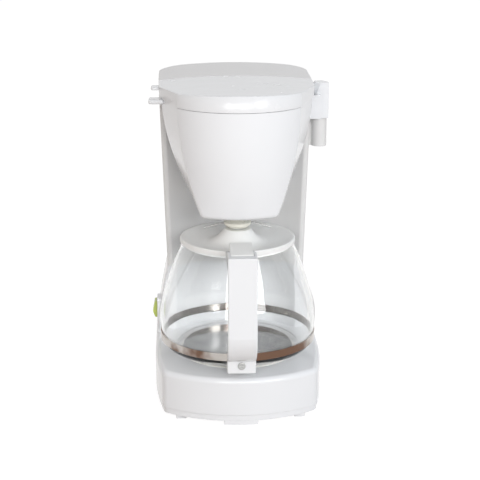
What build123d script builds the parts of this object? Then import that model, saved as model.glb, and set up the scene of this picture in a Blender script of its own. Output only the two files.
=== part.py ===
"""Drip coffee maker: swing-out filter holder, glass carafe on a hot plate.

Frame: origin on the table at the middle of the footprint, +Z up, -Y towards the front.
Sketch coordinates are measured from the carafe axis, which stands at y = BREW_Y.
"""
from build123d import *
import os
from math import asin, cos, degrees, radians, sin, sqrt

os.makedirs("parts", exist_ok=True)

# ---------------------------------------------------------------- driving dimensions (mm)
WALL = 2.2                  # moulded shells
SKIN = 2.5                  # crowned top skins
MOVING_GAP = 0.5            # pieces that move past each other
REST_GAP = 0.3              # pieces that rest on each other and come apart
BORE_CLEARANCE = 0.05       # radial, pin in a running bore
FIT_GAP = 0.05              # radial, fixed piece in its hole

# base and column
FOOT_HEIGHT = 4.0
PLATE_TOP = 10.0            # seam between bottom plate and housing
BASE_TOP = 46.0
BASE_HALF = 80.5            # half width at the flanks
BASE_FRONT = 85.0           # bowed front, ahead of the carafe axis
BASE_FRONT_RADIUS = 120.0
BASE_CORNER_X = BASE_HALF - 7.5                 # where the bowed front ends
BASE_CORNER_R = 12.0
CHEEK_Y = 8.0               # the cheeks reach full width here
REAR = 133.0                # back of the casing, behind the carafe axis
REAR_BOW = 4.0
REAR_CORNER_R = 28.0
BASE_EDGE_R = 5.0
COLUMN_TOP = BASE_TOP + 70.5
COLUMN_WAIST_Z = (BASE_TOP + COLUMN_TOP) / 2
COLUMN_WAIST_HALF = 75.1
COLUMN_TOP_HALF = 68.0
COLUMN_TOP_REAR = REAR - 4.0
WING_Y = 50.0               # front of the column's wings
WING_EDGE_R = 2.5
BAY_CLEARANCE = 4.0         # carafe to column

# hot plate
PLATE_RADIUS = 53.5
HOT_PLATE_TOP = BASE_TOP + 4.0
HOT_PLATE_SHEET = 1.5

# carafe
CARAFE_RADIUS = 75.5        # widest glass
CARAFE_MOUTH_R = 54.0
CARAFE_MOUTH_Z = HOT_PLATE_TOP + 106.0
CARAFE_FOOT_R = CARAFE_RADIUS - 15.5
GLASS = 2.0
BAND_LOW = HOT_PLATE_TOP + 10.0
BAND_HEIGHT = 7.3
BAND_SHEET = 0.9
BAND_GLASS_R = CARAFE_RADIUS - 1.3              # glass under the band
# glass above the band: share of the way up, share of the way in from widest to mouth
GLASS_PROFILE = [(0.166, 0.0), (0.312, 0.056), (0.476, 0.256), (0.735, 0.600), (0.904, 0.888), (1.0, 1.0)]
DOME_TOP = CARAFE_MOUTH_Z + 12.0
HANDLE_FRONT = CARAFE_RADIUS + 39.5             # outer face of the grip
HANDLE_WIDTH = 26.6
HANDLE_THICK = 8.0
HANDLE_TOP = CARAFE_MOUTH_Z + 15.5
LID_ARM_WIDTH = 20.5
CARAFE_PIN_R = 1.5

# head
TANK_TOP = 297.0
TANK_TOP_HALF = 74.3
TANK_WING_Y = 48.5
TANK_BAY_MID = 72.0         # concave front of the tank, at its middle
TANK_WING_LAND = 5.0
TANK_WALL = 2.4
TANK_FLOOR = 2.5
RIM_Z = TANK_TOP - 4.0      # lower edge of the front cover
SEAM_Y = 47.0               # seam between front cover and tank lid
CROWN_TOP = TANK_TOP + 10.5
CROWN_DROP = 4.0            # the top falls this much from middle to side
TOP_EDGE_R = 0.9
COVER_FRONT = 71.5
COVER_BULGE_R = 28.0        # the cover's front curves back with this radius
COVER_FLARE = 1.0           # and its cheeks widen this much up to the crown
COVER_CORNER_X = 57.0
COVER_CORNER_Y = -42.0
COVER_SIDE_X = TANK_TOP_HALF - 1.8
COVER_SIDE_Y = 10.0
COVER_CORNER_R = 6.0
COVER_SECTIONS = 4

# drip stop
VALVE_LOW = DOME_TOP + 2.0
VALVE_CUP_R = 13.0
VALVE_STEM_R = 2.5

# filter holder: each size at its top, and how much it shrinks down to the bottom
HOLDER_BOTTOM = VALVE_LOW + 20.0
HOLDER_BOTTOM_R = 5.0
HOLDER_CORNER_R = 6.0
HOLDER_SIDE, HOLDER_SIDE_TAPER = TANK_TOP_HALF - 3.3, 34.0
HOLDER_CORNER, HOLDER_CORNER_TAPER = COVER_CORNER_X - 1.0, 21.0
HOLDER_FRONT, HOLDER_FRONT_TAPER = COVER_FRONT - 0.5, 15.0
HOLDER_REAR, HOLDER_REAR_TAPER = TANK_BAY_MID - 4.0, 24.0
HOLDER_REAR_SIDE, HOLDER_REAR_SIDE_TAPER = TANK_WING_Y - 5.5, 18.0
HOLDER_WAIST_TAPER = 6.0    # the corners creep forward this much
HOLDER_SIDE_POWER = 1.8     # how late the sides and the front draw in
HOLDER_FRONT_POWER = 2.4
HOLDER_SECTIONS = 6

# filter holder hinge
PIVOT_X = TANK_TOP_HALF + 8.0
PIVOT_Y = TANK_WING_Y + 5.5
PIVOT_PIN_R = 3.0
BARREL_R = 7.4
BARREL_TOP = TANK_TOP - 32.0
BARREL_LOW = BARREL_TOP - 28.0
KNUCKLE_TOP = TANK_TOP + 3.0

# water line
PIPE_R = 5.0                # heater pipe and tank nipples, outside
HOSE_WALL = 2.5
LINE_X = 16.0               # hoses run at this distance either side of the middle
LINE_Y = 103.0              # the hoses rise here
HEATER_RADIUS = 36.0
ELEMENT_R = 4.0

# rear hinge of the tank lid
LID_PIN_R = 1.5
LID_KNUCKLE_R = 3.0
LID_HINGE_X = 42.0
LID_LUG = 6.0               # width of each lug

# switch
SWITCH_Y = WING_Y + 12.0
SWITCH_Z = BASE_TOP + 22.0
SWITCH_FACE = BASE_HALF - 1.3                   # outer face of the bezel, left of the middle
ROCKER_HALF = 8.5
ROCKER_WIDTH = 12.4
ROCKER_REACH = 4.4          # ridge beyond the bezel face

# fasteners
SCREW_R = 1.5
SCREW_HEAD_R = 3.0
SCREW_SLACK = 0.1           # radial, screw shank in a plain hole
SCREW_HEAD = 1.8            # height of the small screw heads
RECESS_LONG, RECESS_WIDE = 3.4, 0.7             # cross recess of the small screws

# ---------------------------------------------------------------- sizes that follow
REAR_REACH = REAR - 1.0 + LID_KNUCKLE_R
BREW_Y = -(REAR_REACH - HANDLE_FRONT) / 2       # centres the whole machine on the origin
BAY_RADIUS = CARAFE_RADIUS + BAY_CLEARANCE
BAY_HALF = sqrt(BAY_RADIUS**2 - WING_Y**2)
CARAFE_LOW = HOT_PLATE_TOP + REST_GAP
CROWN_RADIUS = (TANK_TOP_HALF**2 + CROWN_DROP**2) / (2 * CROWN_DROP)
HOSE_R = PIPE_R + HOSE_WALL
ELEMENT_Z = HOT_PLATE_TOP - HOT_PLATE_SHEET - ELEMENT_R
PIPE_Z = ELEMENT_Z - ELEMENT_R - PIPE_R
HOLDER_TOP = RIM_Z - MOVING_GAP


# ---------------------------------------------------------------- planes and outlines
def level(height, x=0.0, y=0.0):
    """Plan plane at a height, measured from the carafe axis."""
    return Plane(origin=(x, BREW_Y + y, height))


def side_plane(x=0.0):
    """Section plane across X: sketch x runs along +Y, sketch y along +Z."""
    return Plane(origin=(x, BREW_Y, 0), x_dir=(0, 1, 0), z_dir=(1, 0, 0))


def front_plane(y=0.0):
    """Section plane across Y: sketch x runs along +X, sketch y along +Z, extrusion to the front."""
    return Plane(origin=(0, BREW_Y + y, 0), x_dir=(1, 0, 0), z_dir=(0, -1, 0))


def write(piece, name):
    """Label a finished piece and write it out."""
    piece.part.label = name
    export_step(piece.part, f"parts/{name}.step")


def base_plan(inset=0.0):
    """Base outline: bowed front, full cheeks, straight flanks, slightly bowed back."""
    corner_y = BASE_FRONT_RADIUS - BASE_FRONT - sqrt(BASE_FRONT_RADIUS**2 - BASE_CORNER_X**2)
    with BuildSketch() as plan:
        with BuildLine():
            ThreePointArc((-BASE_CORNER_X, corner_y), (0, -BASE_FRONT), (BASE_CORNER_X, corner_y))
            TangentArc((BASE_HALF, CHEEK_Y), (BASE_CORNER_X, corner_y), tangent=(0, -1))
            Line((BASE_HALF, CHEEK_Y), (BASE_HALF, REAR - REAR_BOW))
            ThreePointArc((BASE_HALF, REAR - REAR_BOW), (0, REAR), (-BASE_HALF, REAR - REAR_BOW))
            Line((-BASE_HALF, REAR - REAR_BOW), (-BASE_HALF, CHEEK_Y))
            TangentArc((-BASE_HALF, CHEEK_Y), (-BASE_CORNER_X, corner_y), tangent=(0, -1))
        make_face()
        if inset:
            offset(amount=-inset, kind=Kind.INTERSECTION, mode=Mode.REPLACE)
        fillet(plan.vertices().group_by(Axis.Y)[0], BASE_CORNER_R - inset)
        rear_corners = plan.vertices().filter_by(lambda v: v.Y > REAR - REAR_BOW - inset - 1)
        fillet(rear_corners, REAR_CORNER_R - inset)
    return plan.sketch


def tower_plan(half, bay_half, wing_y, bay_mid, rear, inset=0.0):
    """Column or tank outline: hollowed front between two wings, bowed back."""
    with BuildSketch() as plan:
        with BuildLine():
            Line((-half, wing_y), (-bay_half, wing_y))
            ThreePointArc((-bay_half, wing_y), (0, bay_mid), (bay_half, wing_y))
            Line((bay_half, wing_y), (half, wing_y))
            Line((half, wing_y), (half, rear - REAR_BOW))
            ThreePointArc((half, rear - REAR_BOW), (0, rear), (-half, rear - REAR_BOW))
            Line((-half, rear - REAR_BOW), (-half, wing_y))
        make_face()
        fillet(plan.vertices().group_by(Axis.Y)[0], WING_EDGE_R)
        fillet(plan.vertices().filter_by(lambda v: v.Y > rear - REAR_BOW - 1), REAR_CORNER_R)
        if inset:
            offset(amount=-inset, mode=Mode.REPLACE)
    return plan.sketch


def column_section(half, rear, inset=0.0):
    return tower_plan(half, BAY_HALF, WING_Y, BAY_RADIUS, rear, inset)


def tank_section(half, rear, inset=0.0):
    return tower_plan(half, half - TANK_WING_LAND, TANK_WING_Y, TANK_BAY_MID, rear, inset)


def cover_plan(rise=0.0, inset=0.0):
    """Front cover outline at a height above its rim: round front, cheeks widening to the seam."""
    bulge = COVER_BULGE_R - sqrt(COVER_BULGE_R**2 - rise**2)
    flare = COVER_FLARE * rise / (CROWN_TOP - RIM_Z)
    corner_x = COVER_CORNER_X - bulge / 4
    corner_y = COVER_CORNER_Y + bulge
    side = COVER_SIDE_X + flare
    with BuildSketch() as plan:
        with BuildLine():
            ThreePointArc((-corner_x, corner_y), (0, bulge - COVER_FRONT), (corner_x, corner_y))
            Polyline(
                (corner_x, corner_y), (side, COVER_SIDE_Y), (TANK_TOP_HALF, SEAM_Y),
                (-TANK_TOP_HALF, SEAM_Y), (-side, COVER_SIDE_Y), (-corner_x, corner_y),
            )
        make_face()
        fillet(plan.vertices().group_by(Axis.Y)[0], COVER_CORNER_R)
        if inset:
            offset(amount=-inset, mode=Mode.REPLACE)
    return plan.sketch


def lid_plan(inset=0.0):
    """Tank lid outline: straight seam in front, the tank's own flanks and back behind it."""
    front = SEAM_Y + MOVING_GAP
    with BuildSketch() as plan:
        with BuildLine():
            Line((-TANK_TOP_HALF, front), (TANK_TOP_HALF, front))
            Line((TANK_TOP_HALF, front), (TANK_TOP_HALF, REAR - REAR_BOW))
            ThreePointArc(
                (TANK_TOP_HALF, REAR - REAR_BOW), (0, REAR), (-TANK_TOP_HALF, REAR - REAR_BOW)
            )
            Line((-TANK_TOP_HALF, REAR - REAR_BOW), (-TANK_TOP_HALF, front))
        make_face()
        fillet(plan.vertices().group_by(Axis.Y)[-1], REAR_CORNER_R)
        if inset:
            offset(amount=-inset, mode=Mode.REPLACE)
    return plan.sketch


def under_crown(low, skin=0.0):
    """Everything above `low` and a skin below the crowned top of the head."""
    radius = CROWN_RADIUS - skin
    top = CROWN_TOP - skin
    half = BASE_HALF
    edge_z = top - radius + sqrt(radius**2 - half**2)
    with BuildPart() as space:
        with BuildSketch(front_plane()):
            with BuildLine():
                Polyline((half, edge_z), (half, low), (-half, low), (-half, edge_z))
                ThreePointArc((-half, edge_z), (0, top), (half, edge_z))
            make_face()
        extrude(amount=2 * REAR, both=True)
    return space.part


def holder_section(depth, inset=0.0):
    """Filter holder outline at a depth from 0 at its rim to 1 at its bottom."""
    draw_in = depth**HOLDER_SIDE_POWER
    side = HOLDER_SIDE - HOLDER_SIDE_TAPER * draw_in
    corner = HOLDER_CORNER - HOLDER_CORNER_TAPER * draw_in
    front = HOLDER_FRONT - HOLDER_FRONT_TAPER * depth**HOLDER_FRONT_POWER
    rear = HOLDER_REAR - HOLDER_REAR_TAPER * draw_in
    rear_side = HOLDER_REAR_SIDE - HOLDER_REAR_SIDE_TAPER * depth
    corner_y = COVER_CORNER_Y - HOLDER_WAIST_TAPER * depth
    waist_y = COVER_SIDE_Y - HOLDER_WAIST_TAPER * depth
    with BuildSketch() as plan:
        with BuildLine():
            ThreePointArc((-corner, corner_y), (0, -front), (corner, corner_y))
            Polyline((corner, corner_y), (side, waist_y), (side, rear_side))
            ThreePointArc((side, rear_side), (0, rear), (-side, rear_side))
            Polyline((-side, rear_side), (-side, waist_y), (-corner, corner_y))
        make_face()
        fillet(plan.vertices(), HOLDER_CORNER_R)
        if inset:
            offset(amount=-inset, mode=Mode.REPLACE)
    return plan.sketch


def disc_stack(*layers, x=0.0, y=0.0):
    """Coaxial plain discs: each layer is (radius, low, high)."""
    with BuildPart() as stack:
        for radius, low, high in layers:
            with BuildSketch(level(low, x, y)):
                Circle(radius)
            extrude(amount=high - low)
    return stack.part


# ---------------------------------------------------------------- base housing and column
DECK_LOW = BASE_TOP - WALL
COLUMN_DECK_LOW = COLUMN_TOP - WALL
COLUMN_FOOT = BASE_TOP - BASE_EDGE_R - 1.0
PLATE_OPENING = PLATE_RADIUS + 0.7
PLATE_HOLE_CUT = 2 * WALL
NIPPLE_HOLE_R = HOSE_R + 1.0
BOSS_R = 4.5
PILOT_R = SCREW_R - 0.2
PILOT_DEPTH = 14.0
PLATE_FLOOR = 2.5
PLATE_FLOOR_TOP = FOOT_HEIGHT + PLATE_FLOOR
FRONT_BOSS = (BASE_CORNER_X - 21.0, -46.0)
REAR_BOSS_X = BASE_HALF - WALL - BOSS_R + 1.0      # the rear bosses grow out of the flanks
REAR_BOSS_Y = REAR - 41.0
REAR_BOSS_TOP = BASE_TOP - BASE_EDGE_R - WALL
BASE_SCREWS = [
    (-FRONT_BOSS[0], FRONT_BOSS[1], DECK_LOW + WALL / 2),
    (FRONT_BOSS[0], FRONT_BOSS[1], DECK_LOW + WALL / 2),
    (-REAR_BOSS_X, REAR_BOSS_Y, REAR_BOSS_TOP),
    (REAR_BOSS_X, REAR_BOSS_Y, REAR_BOSS_TOP),
]
TANK_SCREWS = [(-48.0, 100.0), (48.0, 100.0), (0.0, 112.0)]
SWITCH_OPENING_Z = 21.0
SWITCH_OPENING_Y = 16.0
GLAND_X = BASE_HALF - 34.5
GLAND_Z = 26.0
GLAND_R = 5.0


def column_loft(inset, low, high):
    """Column between two heights, its walls leaning in towards the tank."""
    with BuildPart() as column:
        for height, half, rear in (
            (low, BASE_HALF, REAR),
            (COLUMN_WAIST_Z, COLUMN_WAIST_HALF, (REAR + COLUMN_TOP_REAR) / 2),
            (high, COLUMN_TOP_HALF, COLUMN_TOP_REAR),
        ):
            with BuildSketch(level(height)):
                add(column_section(half, rear, inset))
        loft()
    return column.part


column_outside = column_loft(0.0, COLUMN_FOOT, COLUMN_TOP)
column_inside = column_loft(WALL, COLUMN_FOOT, COLUMN_DECK_LOW)

with BuildPart() as base_housing:
    with BuildSketch(level(PLATE_TOP)):
        add(base_plan())
    extrude(amount=BASE_TOP - PLATE_TOP)
    fillet(base_housing.faces().sort_by(Axis.Z)[-1].edges(), BASE_EDGE_R)
    add(column_outside)
    with BuildSketch(level(PLATE_TOP)):
        add(base_plan(WALL))
    extrude(amount=DECK_LOW - PLATE_TOP, mode=Mode.SUBTRACT)
    add(column_inside, mode=Mode.SUBTRACT)
    # screw bosses reach down to the bottom plate from the deck and along the flanks
    for x, y, boss_top in BASE_SCREWS:
        with BuildSketch(level(PLATE_FLOOR_TOP, x, y)):
            Circle(BOSS_R)
        extrude(amount=boss_top - PLATE_FLOOR_TOP)
        with BuildSketch(level(PLATE_FLOOR_TOP, x, y)):
            Circle(PILOT_R)
        extrude(amount=PILOT_DEPTH, mode=Mode.SUBTRACT)
    # opening for the hot plate
    with BuildSketch(level(DECK_LOW)):
        Circle(PLATE_OPENING)
    extrude(amount=PLATE_HOLE_CUT, mode=Mode.SUBTRACT)
    # column deck: two holes for the hoses, three for the tank screws
    with BuildSketch(level(COLUMN_DECK_LOW)):
        with Locations((-LINE_X, LINE_Y), (LINE_X, LINE_Y)):
            Circle(NIPPLE_HOLE_R)
        with Locations(*TANK_SCREWS):
            Circle(SCREW_R + 0.3)
    extrude(amount=2 * WALL, mode=Mode.SUBTRACT)
    # switch opening in the left flank and gland hole in the back
    with BuildSketch(Plane(origin=(-BASE_HALF - WALL, BREW_Y, 0), x_dir=(0, 1, 0), z_dir=(1, 0, 0))):
        with Locations((SWITCH_Y, SWITCH_Z)):
            Rectangle(SWITCH_OPENING_Y, SWITCH_OPENING_Z)
    extrude(amount=6 * WALL, mode=Mode.SUBTRACT)
    with BuildSketch(front_plane(REAR + WALL)):
        with Locations((GLAND_X, GLAND_Z)):
            Circle(GLAND_R + FIT_GAP)
    extrude(amount=4 * WALL, mode=Mode.SUBTRACT)
write(base_housing, "base_housing")

# ---------------------------------------------------------------- bottom plate, feet, screws
PLATE_INSET = 1.5
LIP_HEIGHT = 3.0
PEG_R = 2.4
SCREW_SINK = 1.6
VENT_WIDTH = 3.0
VENT_LENGTH = 34.0
VENT_Y = 40.0
VENT_PITCH = 12.0
VENTS = 5
FOOT_CORNER_R = 1.2
FRONT_FOOT_X, FRONT_FOOT_Y = BASE_CORNER_X - 17.0, 25.0 - BASE_FRONT
REAR_FOOT_X, REAR_FOOT_Y = BASE_HALF - 22.5, REAR - 21.0
# middle of each foot, its width and its length
FEET = [(0.0, 6.0 - BASE_FRONT, 32.0, 10.0)]
FEET += [(side * FRONT_FOOT_X, FRONT_FOOT_Y, 10.0, 12.0) for side in (-1, 1)]
FEET += [(side * REAR_FOOT_X, REAR_FOOT_Y, 14.0, 12.0) for side in (-1, 1)]

with BuildPart() as bottom_plate:
    with BuildSketch(level(FOOT_HEIGHT)):
        add(base_plan(PLATE_INSET))
    extrude(amount=PLATE_TOP - FOOT_HEIGHT)
    # the lip stands up inside the housing wall
    with BuildSketch(level(PLATE_TOP)):
        add(base_plan(WALL + FIT_GAP))
    extrude(amount=LIP_HEIGHT)
    with BuildSketch(level(PLATE_FLOOR_TOP)):
        add(base_plan(2 * WALL))
    extrude(amount=PLATE_TOP, mode=Mode.SUBTRACT)
    for x, y, boss_top in BASE_SCREWS:
        with BuildSketch(level(PLATE_FLOOR_TOP, x, y)):
            Circle(BOSS_R + FIT_GAP)
        extrude(amount=PLATE_TOP, mode=Mode.SUBTRACT)
        with BuildSketch(level(FOOT_HEIGHT, x, y)):
            Circle(SCREW_R + SCREW_SLACK)
        extrude(amount=PLATE_FLOOR, mode=Mode.SUBTRACT)
        with BuildSketch(level(FOOT_HEIGHT, x, y)):
            Circle(SCREW_HEAD_R + 0.3)
        extrude(amount=SCREW_SINK, mode=Mode.SUBTRACT)
    with BuildSketch(level(FOOT_HEIGHT)):
        with Locations(*[(x, y) for x, y, width, length in FEET]):
            Circle(PEG_R)
        with Locations((0, VENT_Y)):
            with GridLocations(VENT_PITCH, 1.0, VENTS, 1):
                SlotOverall(VENT_LENGTH, VENT_WIDTH, rotation=90)
    extrude(amount=PLATE_FLOOR, mode=Mode.SUBTRACT)
write(bottom_plate, "bottom_plate")

with BuildPart() as feet:
    for x, y, width, length in FEET:
        with BuildSketch(level(0)):
            with Locations((x, y)):
                RectangleRounded(width, length, FOOT_CORNER_R)
            add(base_plan(PLATE_INSET), mode=Mode.INTERSECT)
        extrude(amount=FOOT_HEIGHT)
        with BuildSketch(level(FOOT_HEIGHT, x, y)):
            Circle(PEG_R)
        extrude(amount=PLATE_FLOOR)
write(feet, "feet")

BASE_SCREW_LENGTH = 12.0
with BuildPart() as base_screws:
    for x, y, boss_top in BASE_SCREWS:
        head_low = FOOT_HEIGHT + 0.2
        head_top = FOOT_HEIGHT + SCREW_SINK
        add(disc_stack((SCREW_HEAD_R, head_low, head_top),
                       (PILOT_R, head_top, head_top + BASE_SCREW_LENGTH), x=x, y=y))
        with BuildSketch(level(head_low, x, y)):
            Rectangle(RECESS_LONG, RECESS_WIDE)
            Rectangle(RECESS_WIDE, RECESS_LONG)
        extrude(amount=SCREW_SINK / 2, mode=Mode.SUBTRACT)
write(base_screws, "base_screws")

# ---------------------------------------------------------------- hot plate, heater, controls
PLATE_FLANGE_R = PLATE_OPENING + 4.0
PLATE_FLANGE_TOP = DECK_LOW - 0.6
SEAL_R = PLATE_OPENING + 2.4
SEAL_PROUD = 1.2
SEAL_EDGE_R = 0.8
FLANGE_SHEET = 1.0
PLATE_EDGE_R = 1.0

with BuildPart() as hot_plate:
    with BuildSketch(side_plane()):
        with BuildLine():
            Polyline(
                (0, HOT_PLATE_TOP), (PLATE_RADIUS, HOT_PLATE_TOP), (PLATE_RADIUS, PLATE_FLANGE_TOP),
                (PLATE_FLANGE_R, PLATE_FLANGE_TOP), (PLATE_FLANGE_R, PLATE_FLANGE_TOP - FLANGE_SHEET),
                (PLATE_RADIUS - HOT_PLATE_SHEET, PLATE_FLANGE_TOP - FLANGE_SHEET),
                (PLATE_RADIUS - HOT_PLATE_SHEET, HOT_PLATE_TOP - HOT_PLATE_SHEET),
                (0, HOT_PLATE_TOP - HOT_PLATE_SHEET), close=True,
            )
        make_face()
    revolve(axis=Axis((0, BREW_Y, 0), (0, 0, 1)))
    rim = hot_plate.edges().filter_by(GeomType.CIRCLE).group_by(Axis.Z)[-1]
    fillet(rim, PLATE_EDGE_R)
write(hot_plate, "hot_plate")

with BuildPart() as hot_plate_seal:
    with BuildSketch(level(BASE_TOP)):
        Circle(SEAL_R)
    extrude(amount=SEAL_PROUD)
    fillet(hot_plate_seal.edges().group_by(Axis.Z)[-1], SEAL_EDGE_R)
    with BuildSketch(level(PLATE_FLANGE_TOP)):
        Circle(PLATE_FLANGE_R)
        Circle(PLATE_OPENING - FIT_GAP, mode=Mode.SUBTRACT)
    extrude(amount=DECK_LOW - PLATE_FLANGE_TOP)
    with BuildSketch(level(PLATE_FLANGE_TOP)):
        Circle(PLATE_OPENING - FIT_GAP)
    extrude(amount=BASE_TOP - PLATE_FLANGE_TOP)
    with BuildSketch(level(PLATE_FLANGE_TOP)):
        Circle(PLATE_RADIUS + FIT_GAP)
    extrude(amount=BASE_TOP, mode=Mode.SUBTRACT)
write(hot_plate_seal, "hot_plate_seal")


def horseshoe(radius_of_ring, height, section_r, tail):
    """Ring open to the back, its two ends running back side by side."""
    opening = degrees(asin(LINE_X / radius_of_ring))
    end_y = radius_of_ring * cos(radians(opening))
    with BuildPart() as shoe:
        with BuildLine(level(height)):
            CenterArc((0, 0), radius_of_ring, 90 + opening, 360 - 2 * opening)
        with BuildSketch(Plane(
            origin=(-LINE_X, BREW_Y + end_y, height),
            z_dir=(-cos(radians(opening)), -sin(radians(opening)), 0),
        )):
            Circle(section_r)
        sweep()
        for x in (-LINE_X, LINE_X):
            with BuildSketch(front_plane(end_y + tail)):
                with Locations((x, height)):
                    Circle(section_r)
            extrude(amount=tail)
            with Locations((x, BREW_Y + end_y, height)):
                Sphere(section_r)
    return shoe.part


HOSE_GRIP = 9.0             # length of pipe inside the hose
HOSE_START = PLATE_FLANGE_R + 1.0
HEATER_END = HOSE_START + HOSE_GRIP
RING_END = HEATER_RADIUS * cos(asin(LINE_X / HEATER_RADIUS))
PIPE_TAIL = HEATER_END - RING_END
ELEMENT_TAIL = 6.0
TERMINAL_LENGTH = 8.0
TERMINAL_R = 1.2
PIPE_WALL = 1.2
heater_body = horseshoe(HEATER_RADIUS, PIPE_Z, PIPE_R, PIPE_TAIL)
heater_bore = horseshoe(HEATER_RADIUS, PIPE_Z, PIPE_R - PIPE_WALL, PIPE_TAIL + 1.0)
element_body = horseshoe(HEATER_RADIUS, ELEMENT_Z, ELEMENT_R, ELEMENT_TAIL)

with BuildPart() as heater_tube:
    add(heater_body)
    add(heater_bore, mode=Mode.SUBTRACT)
write(heater_tube, "heater_tube")

with BuildPart() as heating_element:
    add(element_body)
    for x in (-LINE_X, LINE_X):
        with BuildSketch(front_plane(RING_END + ELEMENT_TAIL + TERMINAL_LENGTH)):
            with Locations((x, ELEMENT_Z)):
                Circle(TERMINAL_R)
        extrude(amount=TERMINAL_LENGTH)
write(heating_element, "heating_element")

CLAMP_SHEET = 1.5
CLAMP_WIDTH = 14.0
CLAMP_LOW = PIPE_Z - PIPE_R - CLAMP_SHEET
CLAMP_REACH = HEATER_RADIUS + PIPE_R + 2.0
STUD_R = 2.0
STUD_HEAD_R, STUD_HEAD = 3.6, 2.6
with BuildPart() as heater_clamp:
    with BuildSketch(level(CLAMP_LOW)):
        SlotOverall(2 * CLAMP_REACH, CLAMP_WIDTH)
        Circle(STUD_R + SCREW_SLACK, mode=Mode.SUBTRACT)
    extrude(amount=CLAMP_SHEET)
write(heater_clamp, "heater_clamp")

with BuildPart() as clamp_screw:
    add(disc_stack((STUD_HEAD_R, CLAMP_LOW - STUD_HEAD, CLAMP_LOW),
                   (STUD_R, CLAMP_LOW, HOT_PLATE_TOP - HOT_PLATE_SHEET)))
write(clamp_screw, "clamp_screw")

THERMOSTAT_Y = 14.0
THERMOSTAT_R, THERMOSTAT_BODY_R = 7.5, 6.0
THERMOSTAT_SEAT = ELEMENT_Z - 1.0
THERMOSTAT_LOW = THERMOSTAT_SEAT - 5.0
BLADE_WIDTH, BLADE_THICK = 4.8, 0.8
BLADE_LENGTH = 8.0
with BuildPart() as thermostat:
    add(disc_stack((THERMOSTAT_R, THERMOSTAT_SEAT, HOT_PLATE_TOP - HOT_PLATE_SHEET),
                   (THERMOSTAT_BODY_R, THERMOSTAT_LOW, THERMOSTAT_SEAT), y=THERMOSTAT_Y))
    for x in (-THERMOSTAT_R, THERMOSTAT_R):
        with BuildSketch(level(THERMOSTAT_LOW + 1.0, x, THERMOSTAT_Y)):
            Rectangle(BLADE_LENGTH, BLADE_WIDTH)
        extrude(amount=BLADE_THICK)
write(thermostat, "thermostat")

FUSE_R = 2.2
FUSE_LENGTH = 18.0
FUSE_Z = HOT_PLATE_TOP - HOT_PLATE_SHEET - FUSE_R
with BuildPart() as thermal_fuse:
    with BuildSketch(Plane(origin=(-FUSE_LENGTH / 2, BREW_Y - THERMOSTAT_Y, FUSE_Z), z_dir=(1, 0, 0))):
        Circle(FUSE_R)
    extrude(amount=FUSE_LENGTH)
write(thermal_fuse, "thermal_fuse")

# ---------------------------------------------------------------- water line
HOSE_BEND = 20.0
NIPPLE_LENGTH = 15.0
NIPPLE_LOW = COLUMN_TOP - NIPPLE_LENGTH
HOSE_TOP = COLUMN_DECK_LOW - 0.5
VALVE_BODY_Z = BASE_TOP + 28.0
VALVE_BODY_HALF = 9.0
VALVE_SPIGOT = 8.0
VALVE_BORE_R = 2.5


def line_tube(x, radius, low_end, high_end):
    """Straight back from the heater, one bend, then up to the tank."""
    with BuildPart() as tube:
        with BuildLine(side_plane(x)):
            FilletPolyline((low_end, PIPE_Z), (LINE_Y, PIPE_Z), (LINE_Y, high_end), radius=HOSE_BEND)
        with BuildSketch(Plane(origin=(x, BREW_Y + low_end, PIPE_Z), z_dir=(0, 1, 0))):
            Circle(radius)
        sweep()
    return tube.part


hose_solids = {}
for x, name in ((-LINE_X, "inlet_hose"), (LINE_X, "riser_hose")):
    outside = line_tube(x, HOSE_R, HOSE_START, HOSE_TOP)
    bore = line_tube(x, PIPE_R + FIT_GAP, HOSE_START - 1.0, HOSE_TOP + 1.0)
    hose_solids[name] = (outside, bore)

with BuildPart() as riser_hose:
    add(hose_solids["riser_hose"][0])
    add(hose_solids["riser_hose"][1], mode=Mode.SUBTRACT)
write(riser_hose, "riser_hose")

# the inlet hose is cut in two by the check valve
with BuildPart() as inlet_hose:
    add(hose_solids["inlet_hose"][0])
    add(hose_solids["inlet_hose"][1], mode=Mode.SUBTRACT)
    with BuildSketch(level(VALVE_BODY_Z - VALVE_BODY_HALF, -LINE_X, LINE_Y)):
        Circle(HOSE_R + 1.0)
    extrude(amount=2 * VALVE_BODY_HALF, mode=Mode.SUBTRACT)
write(inlet_hose, "inlet_hose")

with BuildPart() as check_valve:
    with BuildSketch(side_plane(-LINE_X)):
        with BuildLine():
            half, spigot = VALVE_BODY_HALF, VALVE_BODY_HALF + VALVE_SPIGOT
            Polyline(
                (LINE_Y, VALVE_BODY_Z - spigot), (LINE_Y + PIPE_R, VALVE_BODY_Z - spigot),
                (LINE_Y + PIPE_R, VALVE_BODY_Z - half), (LINE_Y + HOSE_R, VALVE_BODY_Z - half),
                (LINE_Y + HOSE_R, VALVE_BODY_Z + half), (LINE_Y + PIPE_R, VALVE_BODY_Z + half),
                (LINE_Y + PIPE_R, VALVE_BODY_Z + spigot), (LINE_Y, VALVE_BODY_Z + spigot), close=True,
            )
        make_face()
    revolve(axis=Axis((-LINE_X, BREW_Y + LINE_Y, 0), (0, 0, 1)))
    with BuildSketch(level(VALVE_BODY_Z - 2 * spigot, -LINE_X, LINE_Y)):
        Circle(VALVE_BORE_R)
    extrude(amount=4 * spigot, mode=Mode.SUBTRACT)
write(check_valve, "check_valve")

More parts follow.
